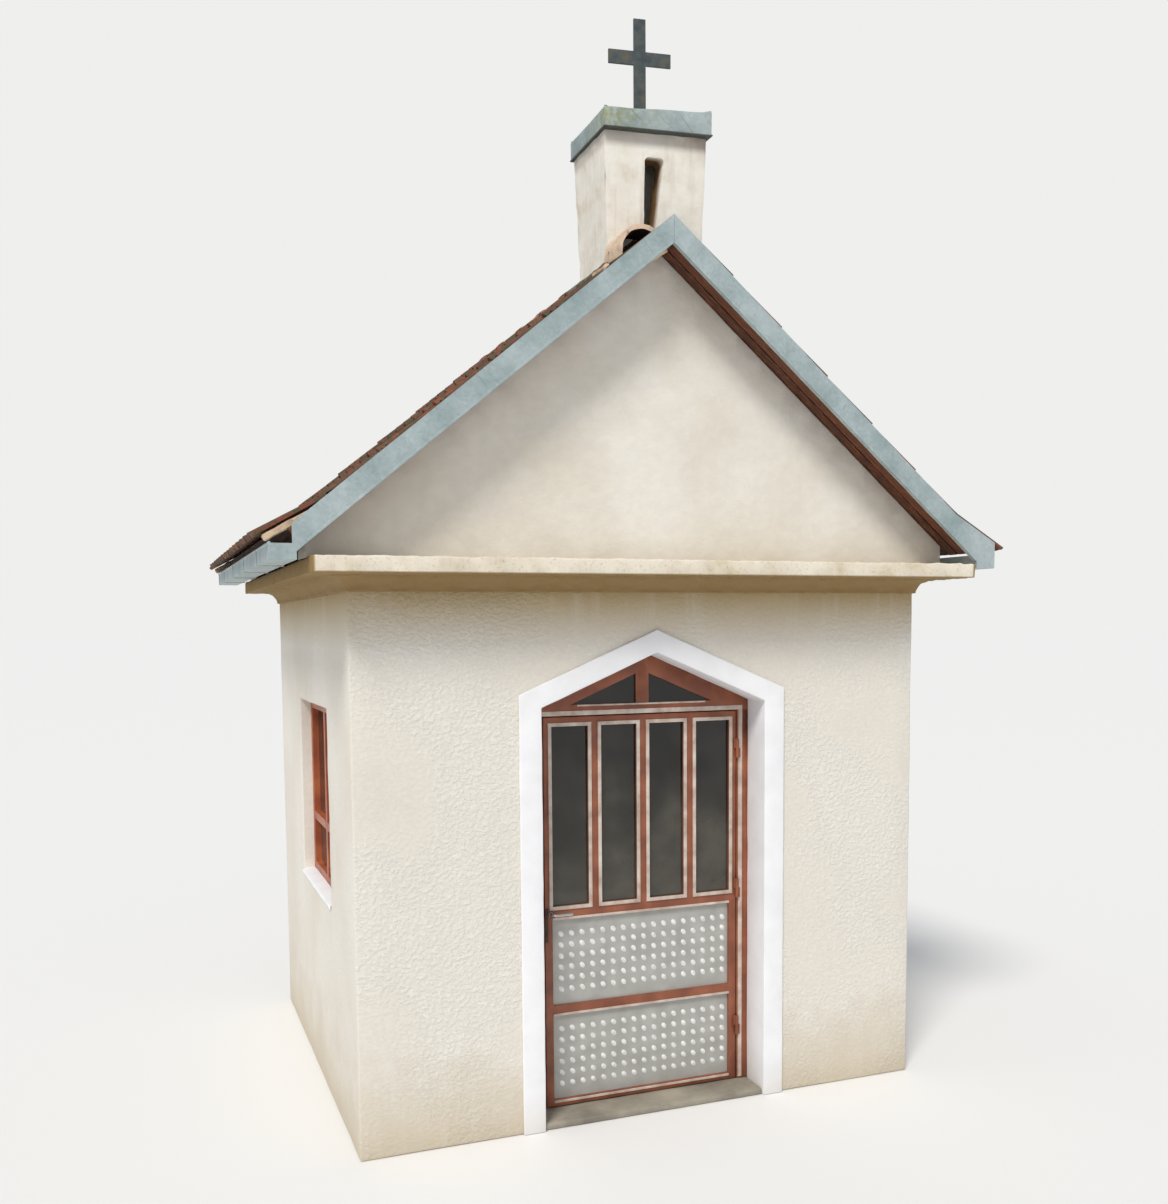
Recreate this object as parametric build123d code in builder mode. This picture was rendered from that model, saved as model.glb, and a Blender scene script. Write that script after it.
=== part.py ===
from math import atan, cos, radians, sin, tan
import os

from build123d import *

os.makedirs("parts", exist_ok=True)

# Small roadside chapel in rendered masonry, on a level plot.
# Millimetres. +X is to the right seen from the front, +Y goes into the building, +Z is up.
# The origin is on the ground, in the middle of the plan.

# Walls
wall_width = 3000
wall_depth = 2560
wall_thickness = 250
wall_over_door = 291

# Cornice, which is the moulded edge of the ceiling slab
fascia_height = 72
cove_height = 73
cove_reach = 80
front_reach = 270
side_reach = 186
cove_lip = 5
fascia_chamfer = 6

# Roof
roof_pitch = 39.5
verge_reach = 215
eaves_reach = 235
eaves_lift = 59
gable_setback = 10
board_thickness = 24
batten_width = 40
batten_height = 25
rafter_width = 80
rafter_height = 100
tail_height = 55
rafter_count = 4
plate_width = 100
plate_height = 90
ridge_beam_width = 60
ridge_beam_height = 140
course_count = 7
tile_overhang = 117
tile_thickness = 20
tile_step = 16
eaves_tilt = 60
level_courses = 6
verge_cut_width = 45
verge_cut_depth = 1
ridge_tile_radius = 90
ridge_tile_wall = 16
ridge_tile_length = 400
ridge_tile_sink = 94
ridge_slot_half = 46
slipped_tile_radius = 125
slipped_tile_wall = 25
slipped_tile_shift = -130
slipped_tile_sink = 164
slipped_tile_setback = 60

# Sheet metal, drawn thicker than the real sheet
sheet = 3
verge_sheet_width = 100
verge_sheet_top = 70
verge_return = 20
seam = 0.5
gutter_gap = 5
gutter_width = 115
gutter_height = 68
gutter_lift = 49
gutter_end_cover = 18
bracket_width = 25
bracket_thickness = 4
bracket_count = 4

# Turret on the front end of the ridge
turret_width = 498
turret_depth = 405
turret_front = 29
turret_shift = -6
turret_skew = 7
turret_flare = 25
turret_wall = 100
turret_rise = 512
slot_left = -54
slot_width = 98
slot_foot_width = 50
slot_height = 361
slot_head = 106
slot_corner = 22
slot_foot_corner = 14
slot_cut_margin = 20
cap_thickness = 100
cap_tilt = 2.2
cap_rise = 18
cap_overhang = 13
cap_front_overhang = 34
cap_hip_run = 150

# Cross
cross_height = 495
cross_post_width = 60
cross_bar_height = 65
cross_bar_length = 312
cross_bar_drop = 216
cross_turn = -8
cross_thickness = 12
cross_foot = 130
cross_foot_thickness = 8

# Doorway with a gable-shaped head
doorway_width = 1200
shoulder_height = 2065
head_pitch = 23
reveal_lining = 10
reveal_depth = 170
surround_width = 112
surround_proud = 15
floor_top = 40
sill_top = 33
sill_chamfer = 8

# Steel door frame and leaf
post_width = 62
frame_depth = 60
leaf_depth = 35
door_gap = 6
stop_reach = 20
transom_height = 54
fan_bar = 85
fan_post = 70
stile_width = 40
mullion_width = 68
top_rail = 45
glass_bottom = 1060
lock_rail = 68
middle_rail_bottom = 504
middle_rail = 53
bottom_rail = 34
pane_count = 4
glass_thickness = 6
panel_thickness = 4

# Hinges, handle and lock
hinge_lower_edge = 241
hinge_upper_edge = 145
hinge_radius = 9
hinge_pin_radius = 5
hinge_pin_clearance = 0.3
hinge_face_clearance = 1
hinge_length = 50
hinge_lap = 15
handle_height = 1026
handle_from_edge = 30
handle_reach = 45
rose_radius = 10
rose_thickness = 6
lever_length = 100
lever_radius = 8
lever_bend = 14
lock_plate_edge = 2
lock_plate_width = 14
lock_plate_height = 170
lock_plate_drop = 141
lock_plate_thickness = 4

# Side windows
window_width = 1000
window_height = 1000
window_bottom = 1046
window_shift = -90
window_recess = 62
window_frame = 50
window_frame_depth = 50
window_glass_setback = 35
window_bar = 45
window_bar_height = 304
sill_reach = 10
sill_thickness = 22
sill_fall = 14

# Sizes worked out from the ones above
half_width = wall_width / 2
half_depth = wall_depth / 2
wall_face = -half_depth
doorway_half = doorway_width / 2
head_slope = radians(head_pitch)
head_apex = shoulder_height + doorway_half * tan(head_slope)
wall_height = head_apex + wall_over_door
slab_top = wall_height + cove_height + fascia_height
slope = radians(roof_pitch)
eaves_half_width = half_width + eaves_reach
deck_apex = slab_top + eaves_lift + eaves_half_width * tan(slope)
roof_length = wall_depth + 2 * verge_reach
sheathed_length = roof_length - 2 * sheet
deck_top = board_thickness
tile_bed = board_thickness + batten_height
eaves_run = eaves_half_width / cos(slope)
course_length = (eaves_run + tile_overhang) / course_count
frame_face = wall_face + reveal_depth
leaf_half = doorway_half - post_width - door_gap
leaf_bottom = sill_top + door_gap
leaf_top = shoulder_height - transom_height - door_gap
pane_width = (2 * leaf_half - 2 * stile_width - (pane_count - 1) * mullion_width) / pane_count
pane_pitch = pane_width + mullion_width
pane_height = leaf_top - top_rail - glass_bottom
pane_middle = glass_bottom + pane_height / 2
panel_width = 2 * (leaf_half - stile_width)
upper_panel_bottom = middle_rail_bottom + middle_rail
upper_panel_top = glass_bottom - lock_rail
lower_panel_bottom = leaf_bottom + bottom_rail
pin_x = doorway_half - post_width - door_gap / 2
pin_y = frame_face - hinge_radius - hinge_face_clearance
turret_middle = wall_face - turret_front + turret_depth / 2
skew = tan(radians(turret_skew))
turret_top = deck_apex + turret_rise
slot_top = turret_top - slot_head
slot_bottom = slot_top - slot_height


def on_roof(down, up):
    """Point in the XZ section: down the right-hand slope from the ridge, and square up from
    the underside of the roof boards."""
    return (
        down * cos(slope) + up * sin(slope),
        deck_apex - down * sin(slope) + up * cos(slope),
    )


def at_ridge(up):
    """Point above the ridge line where a layer at this height over the boards meets its twin."""
    return (0, deck_apex + up / cos(slope))


def tile_lift(run):
    """Height by which the lowest course tilts up over its batten, this far down the slope."""
    return eaves_tilt * max(0, run / course_length - level_courses)


def save(piece, name):
    """Label one finished piece and write it."""
    piece.part.label = name
    export_step(piece.part, f"parts/{name}.step")


def cross_section(y):
    """Plane of a cross section at this depth, with X to the right and Z up."""
    return Plane.XZ.offset(-y)


# Masonry walls, from the ground to the underside of the cornice
with BuildPart() as front_wall_left:
    pier = half_width - doorway_half - reveal_lining
    with Locations((-half_width, wall_face, 0)):
        Box(pier, wall_thickness, wall_height, align=(Align.MIN, Align.MIN, Align.MIN))
save(front_wall_left, "front_wall_left")

with BuildPart() as front_wall_right:
    mirror(front_wall_left.part, about=Plane.YZ)
save(front_wall_right, "front_wall_right")

# The wall over the doorway has the sloping soffits of the pointed head
lining_half = doorway_half + reveal_lining
lining_rise = reveal_lining / cos(head_slope)
with BuildPart() as front_wall_over_door:
    with BuildSketch(cross_section(wall_face)):
        with BuildLine():
            Polyline(
                (-lining_half, wall_height),
                (-lining_half, head_apex + lining_rise - lining_half * tan(head_slope)),
                (0, head_apex + lining_rise),
                (lining_half, head_apex + lining_rise - lining_half * tan(head_slope)),
                (lining_half, wall_height),
                close=True,
            )
        make_face()
    extrude(amount=-wall_thickness)
save(front_wall_over_door, "front_wall_over_door")

# The side walls run between the front and rear walls. Each has one window opening, and is built
# as a low wall up to its sill, a pier on each side of it, and the wall over its head.
side_wall_length = wall_depth - 2 * wall_thickness
side_wall_back = side_wall_length / 2
side_wall_middle = half_width - wall_thickness / 2
window_top = window_bottom + window_height
window_front = window_shift - window_width / 2
window_back = window_shift + window_width / 2
with BuildPart() as side_walls_below_windows:
    with Locations((-side_wall_middle, 0, 0), (side_wall_middle, 0, 0)):
        Box(wall_thickness, side_wall_length, window_bottom,
            align=(Align.CENTER, Align.CENTER, Align.MIN))
save(side_walls_below_windows, "side_walls_below_windows")

with BuildPart() as side_walls_over_windows:
    with Locations((-side_wall_middle, 0, window_top), (side_wall_middle, 0, window_top)):
        Box(wall_thickness, side_wall_length, wall_height - window_top,
            align=(Align.CENTER, Align.CENTER, Align.MIN))
save(side_walls_over_windows, "side_walls_over_windows")

with BuildPart() as side_wall_front_piers:
    with Locations(
        (-side_wall_middle, window_front, window_bottom),
        (side_wall_middle, window_front, window_bottom),
    ):
        Box(wall_thickness, window_front + side_wall_back, window_height,
            align=(Align.CENTER, Align.MAX, Align.MIN))
save(side_wall_front_piers, "side_wall_front_piers")

with BuildPart() as side_wall_rear_piers:
    with Locations(
        (-side_wall_middle, window_back, window_bottom),
        (side_wall_middle, window_back, window_bottom),
    ):
        Box(wall_thickness, side_wall_back - window_back, window_height,
            align=(Align.CENTER, Align.MIN, Align.MIN))
save(side_wall_rear_piers, "side_wall_rear_piers")

with BuildPart() as rear_wall:
    with Locations((0, half_depth - wall_thickness / 2, wall_height / 2)):
        Box(wall_width, wall_thickness, wall_height)
save(rear_wall, "rear_wall")

# Floor inside the walls, and the concrete sill between the jambs
with BuildPart() as floor:
    with Locations((0, 0, floor_top / 2)):
        Box(wall_width - 2 * wall_thickness, side_wall_length, floor_top)
save(floor, "floor")

with BuildPart() as door_sill:
    with Locations((0, wall_face, 0)):
        Box(doorway_width, wall_thickness, sill_top, align=(Align.CENTER, Align.MIN, Align.MIN))
    front_edges = door_sill.edges().filter_by(Axis.X).group_by(Axis.Z)[-1].group_by(Axis.Y)[0]
    chamfer(front_edges, length=sill_chamfer)
save(door_sill, "door_sill")

# Ceiling slab: a cove springs from the wall head and a square fascia stands over it
cove_base = wall_height
fascia_base = wall_height + cove_height
with BuildPart() as cornice_slab:
    with BuildSketch(Plane.XY.offset(fascia_base)):
        Rectangle(wall_width + 2 * side_reach, wall_depth + 2 * front_reach)
    extrude(amount=fascia_height)
    with BuildSketch(Plane.XY.offset(cove_base)):
        Rectangle(wall_width + 2 * cove_reach, wall_depth + 2 * cove_reach)
    extrude(amount=cove_height)
    # The cove is hollowed along each side by a bar whose axis lies below its outer edge
    cove_radius = cove_height - cove_lip
    with BuildSketch(Plane.YZ):
        with Locations(
            (-half_depth - cove_reach, cove_base),
            (half_depth + cove_reach, cove_base),
        ):
            Circle(cove_radius)
    extrude(amount=wall_width, both=True, mode=Mode.SUBTRACT)
    with BuildSketch(Plane.XZ):
        with Locations(
            (-half_width - cove_reach, cove_base),
            (half_width + cove_reach, cove_base),
        ):
            Circle(cove_radius)
    extrude(amount=wall_depth, both=True, mode=Mode.SUBTRACT)
    top_edges = cornice_slab.edges().group_by(Axis.Z)[-1]
    chamfer(top_edges, length=fascia_chamfer)
save(cornice_slab, "cornice_slab")

# Gable walls stand on the slab and reach up to the roof boards
gable_half = half_width + side_reach - gable_setback
gable_shoulder = deck_apex - gable_half * tan(slope)
with BuildPart() as front_gable:
    with BuildSketch(cross_section(wall_face)):
        with BuildLine():
            Polyline(
                (-gable_half, slab_top),
                (gable_half, slab_top),
                (gable_half, gable_shoulder),
                (0, deck_apex),
                (-gable_half, gable_shoulder),
                close=True,
            )
        make_face()
    extrude(amount=-wall_thickness)
save(front_gable, "front_gable")

with BuildPart() as rear_gable:
    mirror(front_gable.part, about=Plane.XZ)
save(rear_gable, "rear_gable")

# Wall plates, ridge beam and rafters between the gables
plate_middle = half_width + side_reach - plate_width
with BuildPart() as wall_plates:
    with Locations(
        (-plate_middle, 0, slab_top + plate_height / 2),
        (plate_middle, 0, slab_top + plate_height / 2),
    ):
        Box(plate_width, side_wall_length, plate_height)
save(wall_plates, "wall_plates")

ridge_beam_top = deck_apex - ridge_beam_width / 2 * tan(slope)
with BuildPart() as ridge_beam:
    with Locations((0, 0, ridge_beam_top)):
        Box(
            ridge_beam_width,
            side_wall_length,
            ridge_beam_height,
            align=(Align.CENTER, Align.CENTER, Align.MAX),
        )
save(ridge_beam, "ridge_beam")

# Each rafter is cut plumb against the ridge beam and square at its tail, and notched on the plate
rafter_span = side_wall_length - rafter_width
rafter_pitch = rafter_span / (rafter_count - 1)
beam_side = ridge_beam_width / 2
rafter_drop = rafter_height / cos(slope)
plate_outer = plate_middle + plate_width / 2
with BuildPart() as rafters:
    for index in range(rafter_count):
        rafter_y = -rafter_span / 2 + index * rafter_pitch - rafter_width / 2
        with BuildSketch(cross_section(rafter_y)):
            with BuildLine():
                Polyline(
                    (beam_side, deck_apex - beam_side * tan(slope)),
                    on_roof(eaves_run, 0),
                    on_roof(eaves_run, -tail_height),
                    (plate_outer, deck_apex - plate_outer * tan(slope) - rafter_drop),
                    (beam_side, deck_apex - beam_side * tan(slope) - rafter_drop),
                    close=True,
                )
            make_face()
            mirror(about=Plane.YZ)
        extrude(amount=-rafter_width)
    with Locations((0, 0, slab_top)):
        Box(
            2 * plate_outer,
            side_wall_length,
            plate_height,
            align=(Align.CENTER, Align.CENTER, Align.MIN),
            mode=Mode.SUBTRACT,
        )
save(rafters, "rafters")

# Roof boards, which also close the verges from below
with BuildPart() as roof_boards_right:
    with BuildSketch(cross_section(-sheathed_length / 2)):
        with BuildLine():
            Polyline(
                at_ridge(0),
                on_roof(eaves_run, 0),
                on_roof(eaves_run, deck_top),
                at_ridge(deck_top),
                close=True,
            )
        make_face()
    extrude(amount=-sheathed_length)
save(roof_boards_right, "roof_boards_right")

with BuildPart() as roof_boards_left:
    mirror(roof_boards_right.part, about=Plane.YZ)
save(roof_boards_left, "roof_boards_left")

# Outer form of the turret, a shaft that widens a little towards its cap
turret_foot = deck_apex - turret_width / 2 * tan(slope)


def turret_level(height, tilt=0):
    """Plane over the turret's middle at this height, which may tilt up to the right."""
    return Plane(
        origin=(turret_shift, turret_middle, height),
        x_dir=(cos(tilt), 0, sin(tilt)),
        z_dir=(-sin(tilt), 0, cos(tilt)),
    )


def turret_plan(half, front, back):
    """Corners of a plan whose front and back are out of square with its sides."""
    return (
        (-half, half * skew - front),
        (half, -half * skew - front),
        (half, back - half * skew),
        (-half, back + half * skew),
    )


turret_half = turret_width / 2
turret_half_depth = turret_depth / 2
with BuildPart() as turret_block:
    for height, inset in ((turret_foot, turret_flare), (turret_top, 0)):
        with BuildSketch(turret_level(height)):
            with BuildLine():
                Polyline(
                    *turret_plan(
                        turret_half - inset, turret_half_depth - inset, turret_half_depth - inset
                    ),
                    close=True,
                )
            make_face()
    loft()

# Battens across the boards, one under the head of each course
with BuildPart() as battens:
    for course in range(1, course_count + 1):
        head = course * course_length - tile_overhang
        with BuildSketch(cross_section(-sheathed_length / 2)):
            with BuildLine():
                Polyline(
                    on_roof(head - batten_width, deck_top),
                    on_roof(head, deck_top),
                    on_roof(head, tile_bed + tile_lift(head)),
                    on_roof(head - batten_width, tile_bed + tile_lift(head - batten_width)),
                    close=True,
                )
            make_face()
            mirror(about=Plane.YZ)
        extrude(amount=-sheathed_length)
    add(turret_block.part, mode=Mode.SUBTRACT)
save(battens, "battens")

# Tiles: each course lies on the one below, so the section is a row of steps. The lowest course
# tilts up, and behind the turret the top course stops short of the ridge. At the verges the tiles
# are cut down so that the sheet covers them.
turret_back = turret_middle + turret_half_depth - turret_flare
ridge_run = sheathed_length / 2 - turret_back
with BuildPart() as tile_slope:
    with BuildSketch(cross_section(-sheathed_length / 2)):
        with BuildLine():
            outline = [at_ridge(tile_bed + tile_thickness)]
            for course in range(1, course_count + 1):
                butt = course * course_length
                tile_head = tile_bed + tile_thickness + tile_lift(butt)
                outline.append(on_roof(butt, tile_head + tile_step))
                outline.append(on_roof(butt, tile_head))
            outline.append(on_roof(butt, tile_bed + tile_lift(butt)))
            outline.append(on_roof(level_courses * course_length, tile_bed))
            outline.append(at_ridge(tile_bed))
            Polyline(*outline, close=True)
        make_face()
    extrude(amount=-sheathed_length)
    with Locations((0, turret_middle, deck_apex)):
        Box(ridge_slot_half, sheathed_length / 2 - turret_middle, ridge_tile_radius,
            align=(Align.MIN, Align.MIN, Align.MIN), mode=Mode.SUBTRACT)
    verge_top = verge_sheet_top - verge_cut_depth
    for end in (-sheathed_length / 2, sheathed_length / 2 - verge_cut_width):
        with BuildSketch(cross_section(end)):
            with BuildLine():
                Polyline(
                    at_ridge(verge_top),
                    on_roof(level_courses * course_length, verge_top),
                    on_roof(butt, verge_top + tile_lift(butt)),
                    on_roof(butt, 2 * verge_top + tile_lift(butt)),
                    at_ridge(2 * verge_top),
                    close=True,
                )
            make_face()
        extrude(amount=-verge_cut_width, mode=Mode.SUBTRACT)

with BuildPart() as tiles_right:
    add(tile_slope.part)
    add(turret_block.part, mode=Mode.SUBTRACT)
save(tiles_right, "tiles_right")

with BuildPart() as tiles_left:
    mirror(tile_slope.part, about=Plane.YZ)
    add(turret_block.part, mode=Mode.SUBTRACT)
save(tiles_left, "tiles_left")

# Half-round ridge tiles behind the turret, and a wide one in front that has slipped to the left
ridge_apex = at_ridge(tile_bed + tile_thickness)[1]
ridge_count = round(ridge_run / ridge_tile_length)
ridge_spacing = ridge_run / ridge_count
ridge_joint = 1
slipped_tile_start = -sheathed_length / 2 + slipped_tile_setback
slipped_tile_end = turret_middle - turret_half_depth + turret_flare + turret_half * skew
first_butt = on_roof(course_length, tile_bed + tile_thickness + tile_step)
slot_edge = ridge_apex + (first_butt[1] - ridge_apex) * ridge_slot_half / first_butt[0]
with BuildPart() as ridge_tiles:
    for index in range(ridge_count):
        with BuildSketch(cross_section(turret_back + index * ridge_spacing)):
            with Locations((0, ridge_apex - ridge_tile_sink)):
                Circle(ridge_tile_radius)
                Circle(ridge_tile_radius - ridge_tile_wall, mode=Mode.SUBTRACT)
        extrude(amount=ridge_joint - ridge_spacing)
    # They sit on the upper faces of the first course on each side of the ridge slot
    with BuildSketch(cross_section(turret_middle)):
        with BuildLine():
            Polyline(
                at_ridge(deck_top),
                (ridge_slot_half, slot_edge),
                first_butt,
                (0, 0),
                (-first_butt[0], first_butt[1]),
                (-ridge_slot_half, slot_edge),
                close=True,
            )
        make_face()
    extrude(amount=-sheathed_length, mode=Mode.SUBTRACT)
    with BuildSketch(cross_section(slipped_tile_start)):
        with Locations((slipped_tile_shift, ridge_apex - slipped_tile_sink)):
            Circle(slipped_tile_radius)
            Circle(slipped_tile_radius - slipped_tile_wall, mode=Mode.SUBTRACT)
    extrude(amount=slipped_tile_start - slipped_tile_end)
    add(tiles_left.part, mode=Mode.SUBTRACT)
    with BuildSketch(cross_section(slipped_tile_start)):
        with BuildLine():
            Polyline(at_ridge(tile_bed), (-first_butt[0], first_butt[1]), (0, 0), close=True)
        make_face()
    extrude(amount=slipped_tile_start - slipped_tile_end, mode=Mode.SUBTRACT)
    add(turret_block.part, mode=Mode.SUBTRACT)
save(ridge_tiles, "ridge_tiles")

# Verge flashings: bent sheet up each slope, whose foot also closes the end of the gutter. The left
# foot is cut off plumb over the gutter, and the right one follows the tilted course.
gutter_inner = eaves_half_width + gutter_gap
gutter_outer = gutter_inner + gutter_width
gutter_top = slab_top + gutter_lift
gutter_bottom = gutter_top - gutter_height
sheet_low = verge_sheet_top - verge_sheet_width
foot_run = (gutter_inner - sheet_low * sin(slope)) / cos(slope)
lip_run = (gutter_inner + gutter_end_cover - verge_sheet_top * sin(slope)) / cos(slope)
kick_foot = on_roof(level_courses * course_length, verge_sheet_top)
kick_slope = slope - atan(eaves_tilt / course_length)
kick_end = kick_foot[1] - (gutter_outer - kick_foot[0]) * tan(kick_slope)
plumb_end = gutter_inner + gutter_end_cover
with BuildPart() as verge_flashing_front:
    with BuildSketch(cross_section(-roof_length / 2)):
        with BuildLine():
            Polyline(
                (seam, at_ridge(verge_sheet_top)[1] - seam * tan(slope)),
                kick_foot,
                (gutter_outer, kick_end),
                (gutter_outer, gutter_bottom),
                (gutter_inner, gutter_bottom),
                on_roof(foot_run, sheet_low),
                (seam, at_ridge(sheet_low)[1] - seam * tan(slope)),
                close=True,
            )
        make_face()
        with BuildLine():
            Polyline(
                (-seam, at_ridge(verge_sheet_top)[1] - seam * tan(slope)),
                (-on_roof(lip_run, verge_sheet_top)[0], on_roof(lip_run, verge_sheet_top)[1]),
                (-plumb_end, gutter_top),
                (-gutter_outer, gutter_top),
                (-gutter_outer, gutter_bottom),
                (-gutter_inner, gutter_bottom),
                (-on_roof(foot_run, sheet_low)[0], on_roof(foot_run, sheet_low)[1]),
                (-seam, at_ridge(sheet_low)[1] - seam * tan(slope)),
                close=True,
            )
        make_face()
    extrude(amount=-sheet)
    with BuildSketch(cross_section(-roof_length / 2 + sheet)):
        with BuildLine():
            Polyline(
                (seam, at_ridge(sheet_low)[1] - seam * tan(slope)),
                on_roof(foot_run - 2 * sheet, sheet_low),
                on_roof(foot_run - 2 * sheet, sheet_low + sheet),
                (seam, at_ridge(sheet_low + sheet)[1] - seam * tan(slope)),
                close=True,
            )
        make_face()
        mirror(about=Plane.YZ)
    extrude(amount=-verge_return)
save(verge_flashing_front, "verge_flashing_front")

with BuildPart() as verge_flashing_rear:
    mirror(verge_flashing_front.part, about=Plane.XZ)
save(verge_flashing_rear, "verge_flashing_rear")

# Box gutters under the tile tips, carried by strap brackets from the roof boards
gutter_middle = gutter_inner + gutter_width / 2
with BuildPart() as gutter_right:
    with Locations((gutter_middle, 0, gutter_bottom)):
        Box(gutter_width, sheathed_length, gutter_height,
            align=(Align.CENTER, Align.CENTER, Align.MIN))
    with Locations((gutter_middle, 0, gutter_bottom + sheet)):
        Box(gutter_width - 2 * sheet, sheathed_length, gutter_height,
            align=(Align.CENTER, Align.CENTER, Align.MIN), mode=Mode.SUBTRACT)
save(gutter_right, "gutter_right")

with BuildPart() as gutter_left:
    mirror(gutter_right.part, about=Plane.YZ)
save(gutter_left, "gutter_left")

bracket_span = side_wall_length - rafter_width
strap = bracket_thickness
strap_side = gutter_inner - strap
with BuildPart() as gutter_brackets:
    for index in range(bracket_count):
        bracket_y = -bracket_span / 2 + index * bracket_span / (bracket_count - 1)
        with BuildSketch(cross_section(bracket_y - bracket_width / 2)):
            with BuildLine():
                Polyline(
                    (strap_side, gutter_bottom - strap),
                    (gutter_outer + strap, gutter_bottom - strap),
                    (gutter_outer + strap, gutter_top),
                    (gutter_outer, gutter_top),
                    (gutter_outer, gutter_bottom),
                    (gutter_inner, gutter_bottom),
                    (gutter_inner, deck_apex + deck_top / cos(slope) - gutter_inner * tan(slope)),
                    (strap_side, deck_apex + deck_top / cos(slope) - strap_side * tan(slope)),
                    close=True,
                )
            make_face()
            mirror(about=Plane.YZ)
        extrude(amount=-bracket_width)
    for part in (roof_boards_left.part, roof_boards_right.part, rafters.part):
        add(part, mode=Mode.SUBTRACT)
save(gutter_brackets, "gutter_brackets")

# The turret is open inside, with one tall slot in front, and sits astride the roof boards
with BuildPart() as turret:
    add(turret_block.part)
    for height, inset in ((turret_foot, turret_flare + turret_wall), (turret_top, turret_wall)):
        with BuildSketch(turret_level(height)):
            with BuildLine():
                Polyline(
                    *turret_plan(
                        turret_half - inset, turret_half_depth - inset, turret_half_depth - inset
                    ),
                    close=True,
                )
            make_face()
    loft(mode=Mode.SUBTRACT)
    # The slot narrows downwards on its right-hand side
    slot_x = turret_shift + slot_left
    with BuildSketch(cross_section(wall_face - turret_front - slot_cut_margin)) as slot:
        with BuildLine():
            Polyline(
                (slot_x, slot_bottom),
                (slot_x, slot_top),
                (slot_x + slot_width, slot_top),
                (slot_x + slot_foot_width, slot_bottom),
                close=True,
            )
        make_face()
        fillet(slot.vertices().group_by(Axis.Y)[-1], radius=slot_corner)
        fillet(slot.vertices().group_by(Axis.Y)[0], radius=slot_foot_corner)
    slot_cut = turret_flare + turret_wall + 2 * slot_cut_margin
    extrude(amount=-slot_cut, mode=Mode.SUBTRACT)
    with BuildSketch(cross_section(turret_middle - turret_depth)):
        with BuildLine():
            Polyline(
                at_ridge(deck_top),
                on_roof(turret_width, deck_top),
                (0, 0),
                (-on_roof(turret_width, deck_top)[0], on_roof(turret_width, deck_top)[1]),
                close=True,
            )
        make_face()
    extrude(amount=-2 * turret_depth, mode=Mode.SUBTRACT)
save(turret, "turret")

# The cap is a slab with a drip edge that rises to the right and a low hipped top, clad in sheet
cap_half = turret_half + cap_overhang
cap_front = turret_half_depth + cap_front_overhang
cap_back = turret_half_depth + cap_overhang
cap_top = turret_top + cap_thickness + cap_rise
cap_levels = (
    (turret_level(turret_top), 0),
    (turret_level(turret_top + cap_thickness, radians(cap_tilt)), 0),
    (turret_level(cap_top), cap_hip_run),
)
with BuildPart() as turret_cap:
    for level, hip_run in cap_levels:
        with BuildSketch(level):
            with BuildLine():
                Polyline(
                    *turret_plan(cap_half - hip_run, cap_front - hip_run, cap_back - hip_run),
                    close=True,
                )
            make_face()
    loft(ruled=True)
save(turret_cap, "turret_cap")

# Cross of flat steel on a foot plate
cross_top = cap_top + cross_height
cross_bar_bottom = cross_top - cross_bar_drop
with BuildPart() as cross:
    with Locations(Location((0, turret_middle, cap_top), (0, 0, cross_turn))):
        Box(cross_foot, cross_foot, cross_foot_thickness,
            align=(Align.CENTER, Align.CENTER, Align.MIN))
        Box(cross_post_width, cross_thickness, cross_top - cap_top,
            align=(Align.CENTER, Align.CENTER, Align.MIN))
    with Locations(Location((0, turret_middle, cross_bar_bottom), (0, 0, cross_turn))):
        Box(cross_bar_length, cross_thickness, cross_bar_height,
            align=(Align.CENTER, Align.CENTER, Align.MIN))
save(cross, "cross")


def pointed_head(half, shoulder, foot):
    """Closed outline of an opening with upright sides and a gable-shaped head."""
    apex = shoulder + half * tan(head_slope)
    return ((-half, foot), (-half, shoulder), (0, apex), (half, shoulder), (half, foot))


# Raised plaster band round the doorway, returned into the reveal
surround_half = doorway_half + surround_width
surround_shoulder = head_apex + surround_width - surround_half * tan(head_slope)
lining_shoulder = head_apex + lining_rise - lining_half * tan(head_slope)
with BuildPart() as door_surround:
    with BuildSketch(cross_section(wall_face - surround_proud)):
        with BuildLine():
            Polyline(*pointed_head(surround_half, surround_shoulder, 0), close=True)
        make_face()
    extrude(amount=-surround_proud)
    with BuildSketch(cross_section(wall_face)):
        with BuildLine():
            Polyline(*pointed_head(lining_half, lining_shoulder, 0), close=True)
        make_face()
    extrude(amount=-reveal_depth)
    with BuildSketch(cross_section(wall_face - surround_proud)):
        with BuildLine():
            Polyline(*pointed_head(doorway_half, shoulder_height, 0), close=True)
        make_face()
    extrude(amount=-(surround_proud + reveal_depth), mode=Mode.SUBTRACT)
save(door_surround, "door_surround")

# Steel frame: two posts with a stop for the leaf, and the welded fanlight over them
post_inner = doorway_half - post_width
stop_front = leaf_depth + door_gap
transom_bottom = shoulder_height - transom_height
with BuildPart() as door_posts:
    with BuildSketch(Plane.XY.offset(sill_top)):
        with BuildLine():
            Polyline(
                (post_inner, frame_face),
                (lining_half, frame_face),
                (lining_half, frame_face + frame_depth),
                (post_inner - stop_reach, frame_face + frame_depth),
                (post_inner - stop_reach, frame_face + stop_front),
                (post_inner, frame_face + stop_front),
                close=True,
            )
        make_face()
        mirror(about=Plane.YZ)
    extrude(amount=transom_bottom - sill_top)
save(door_posts, "door_posts")

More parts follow.
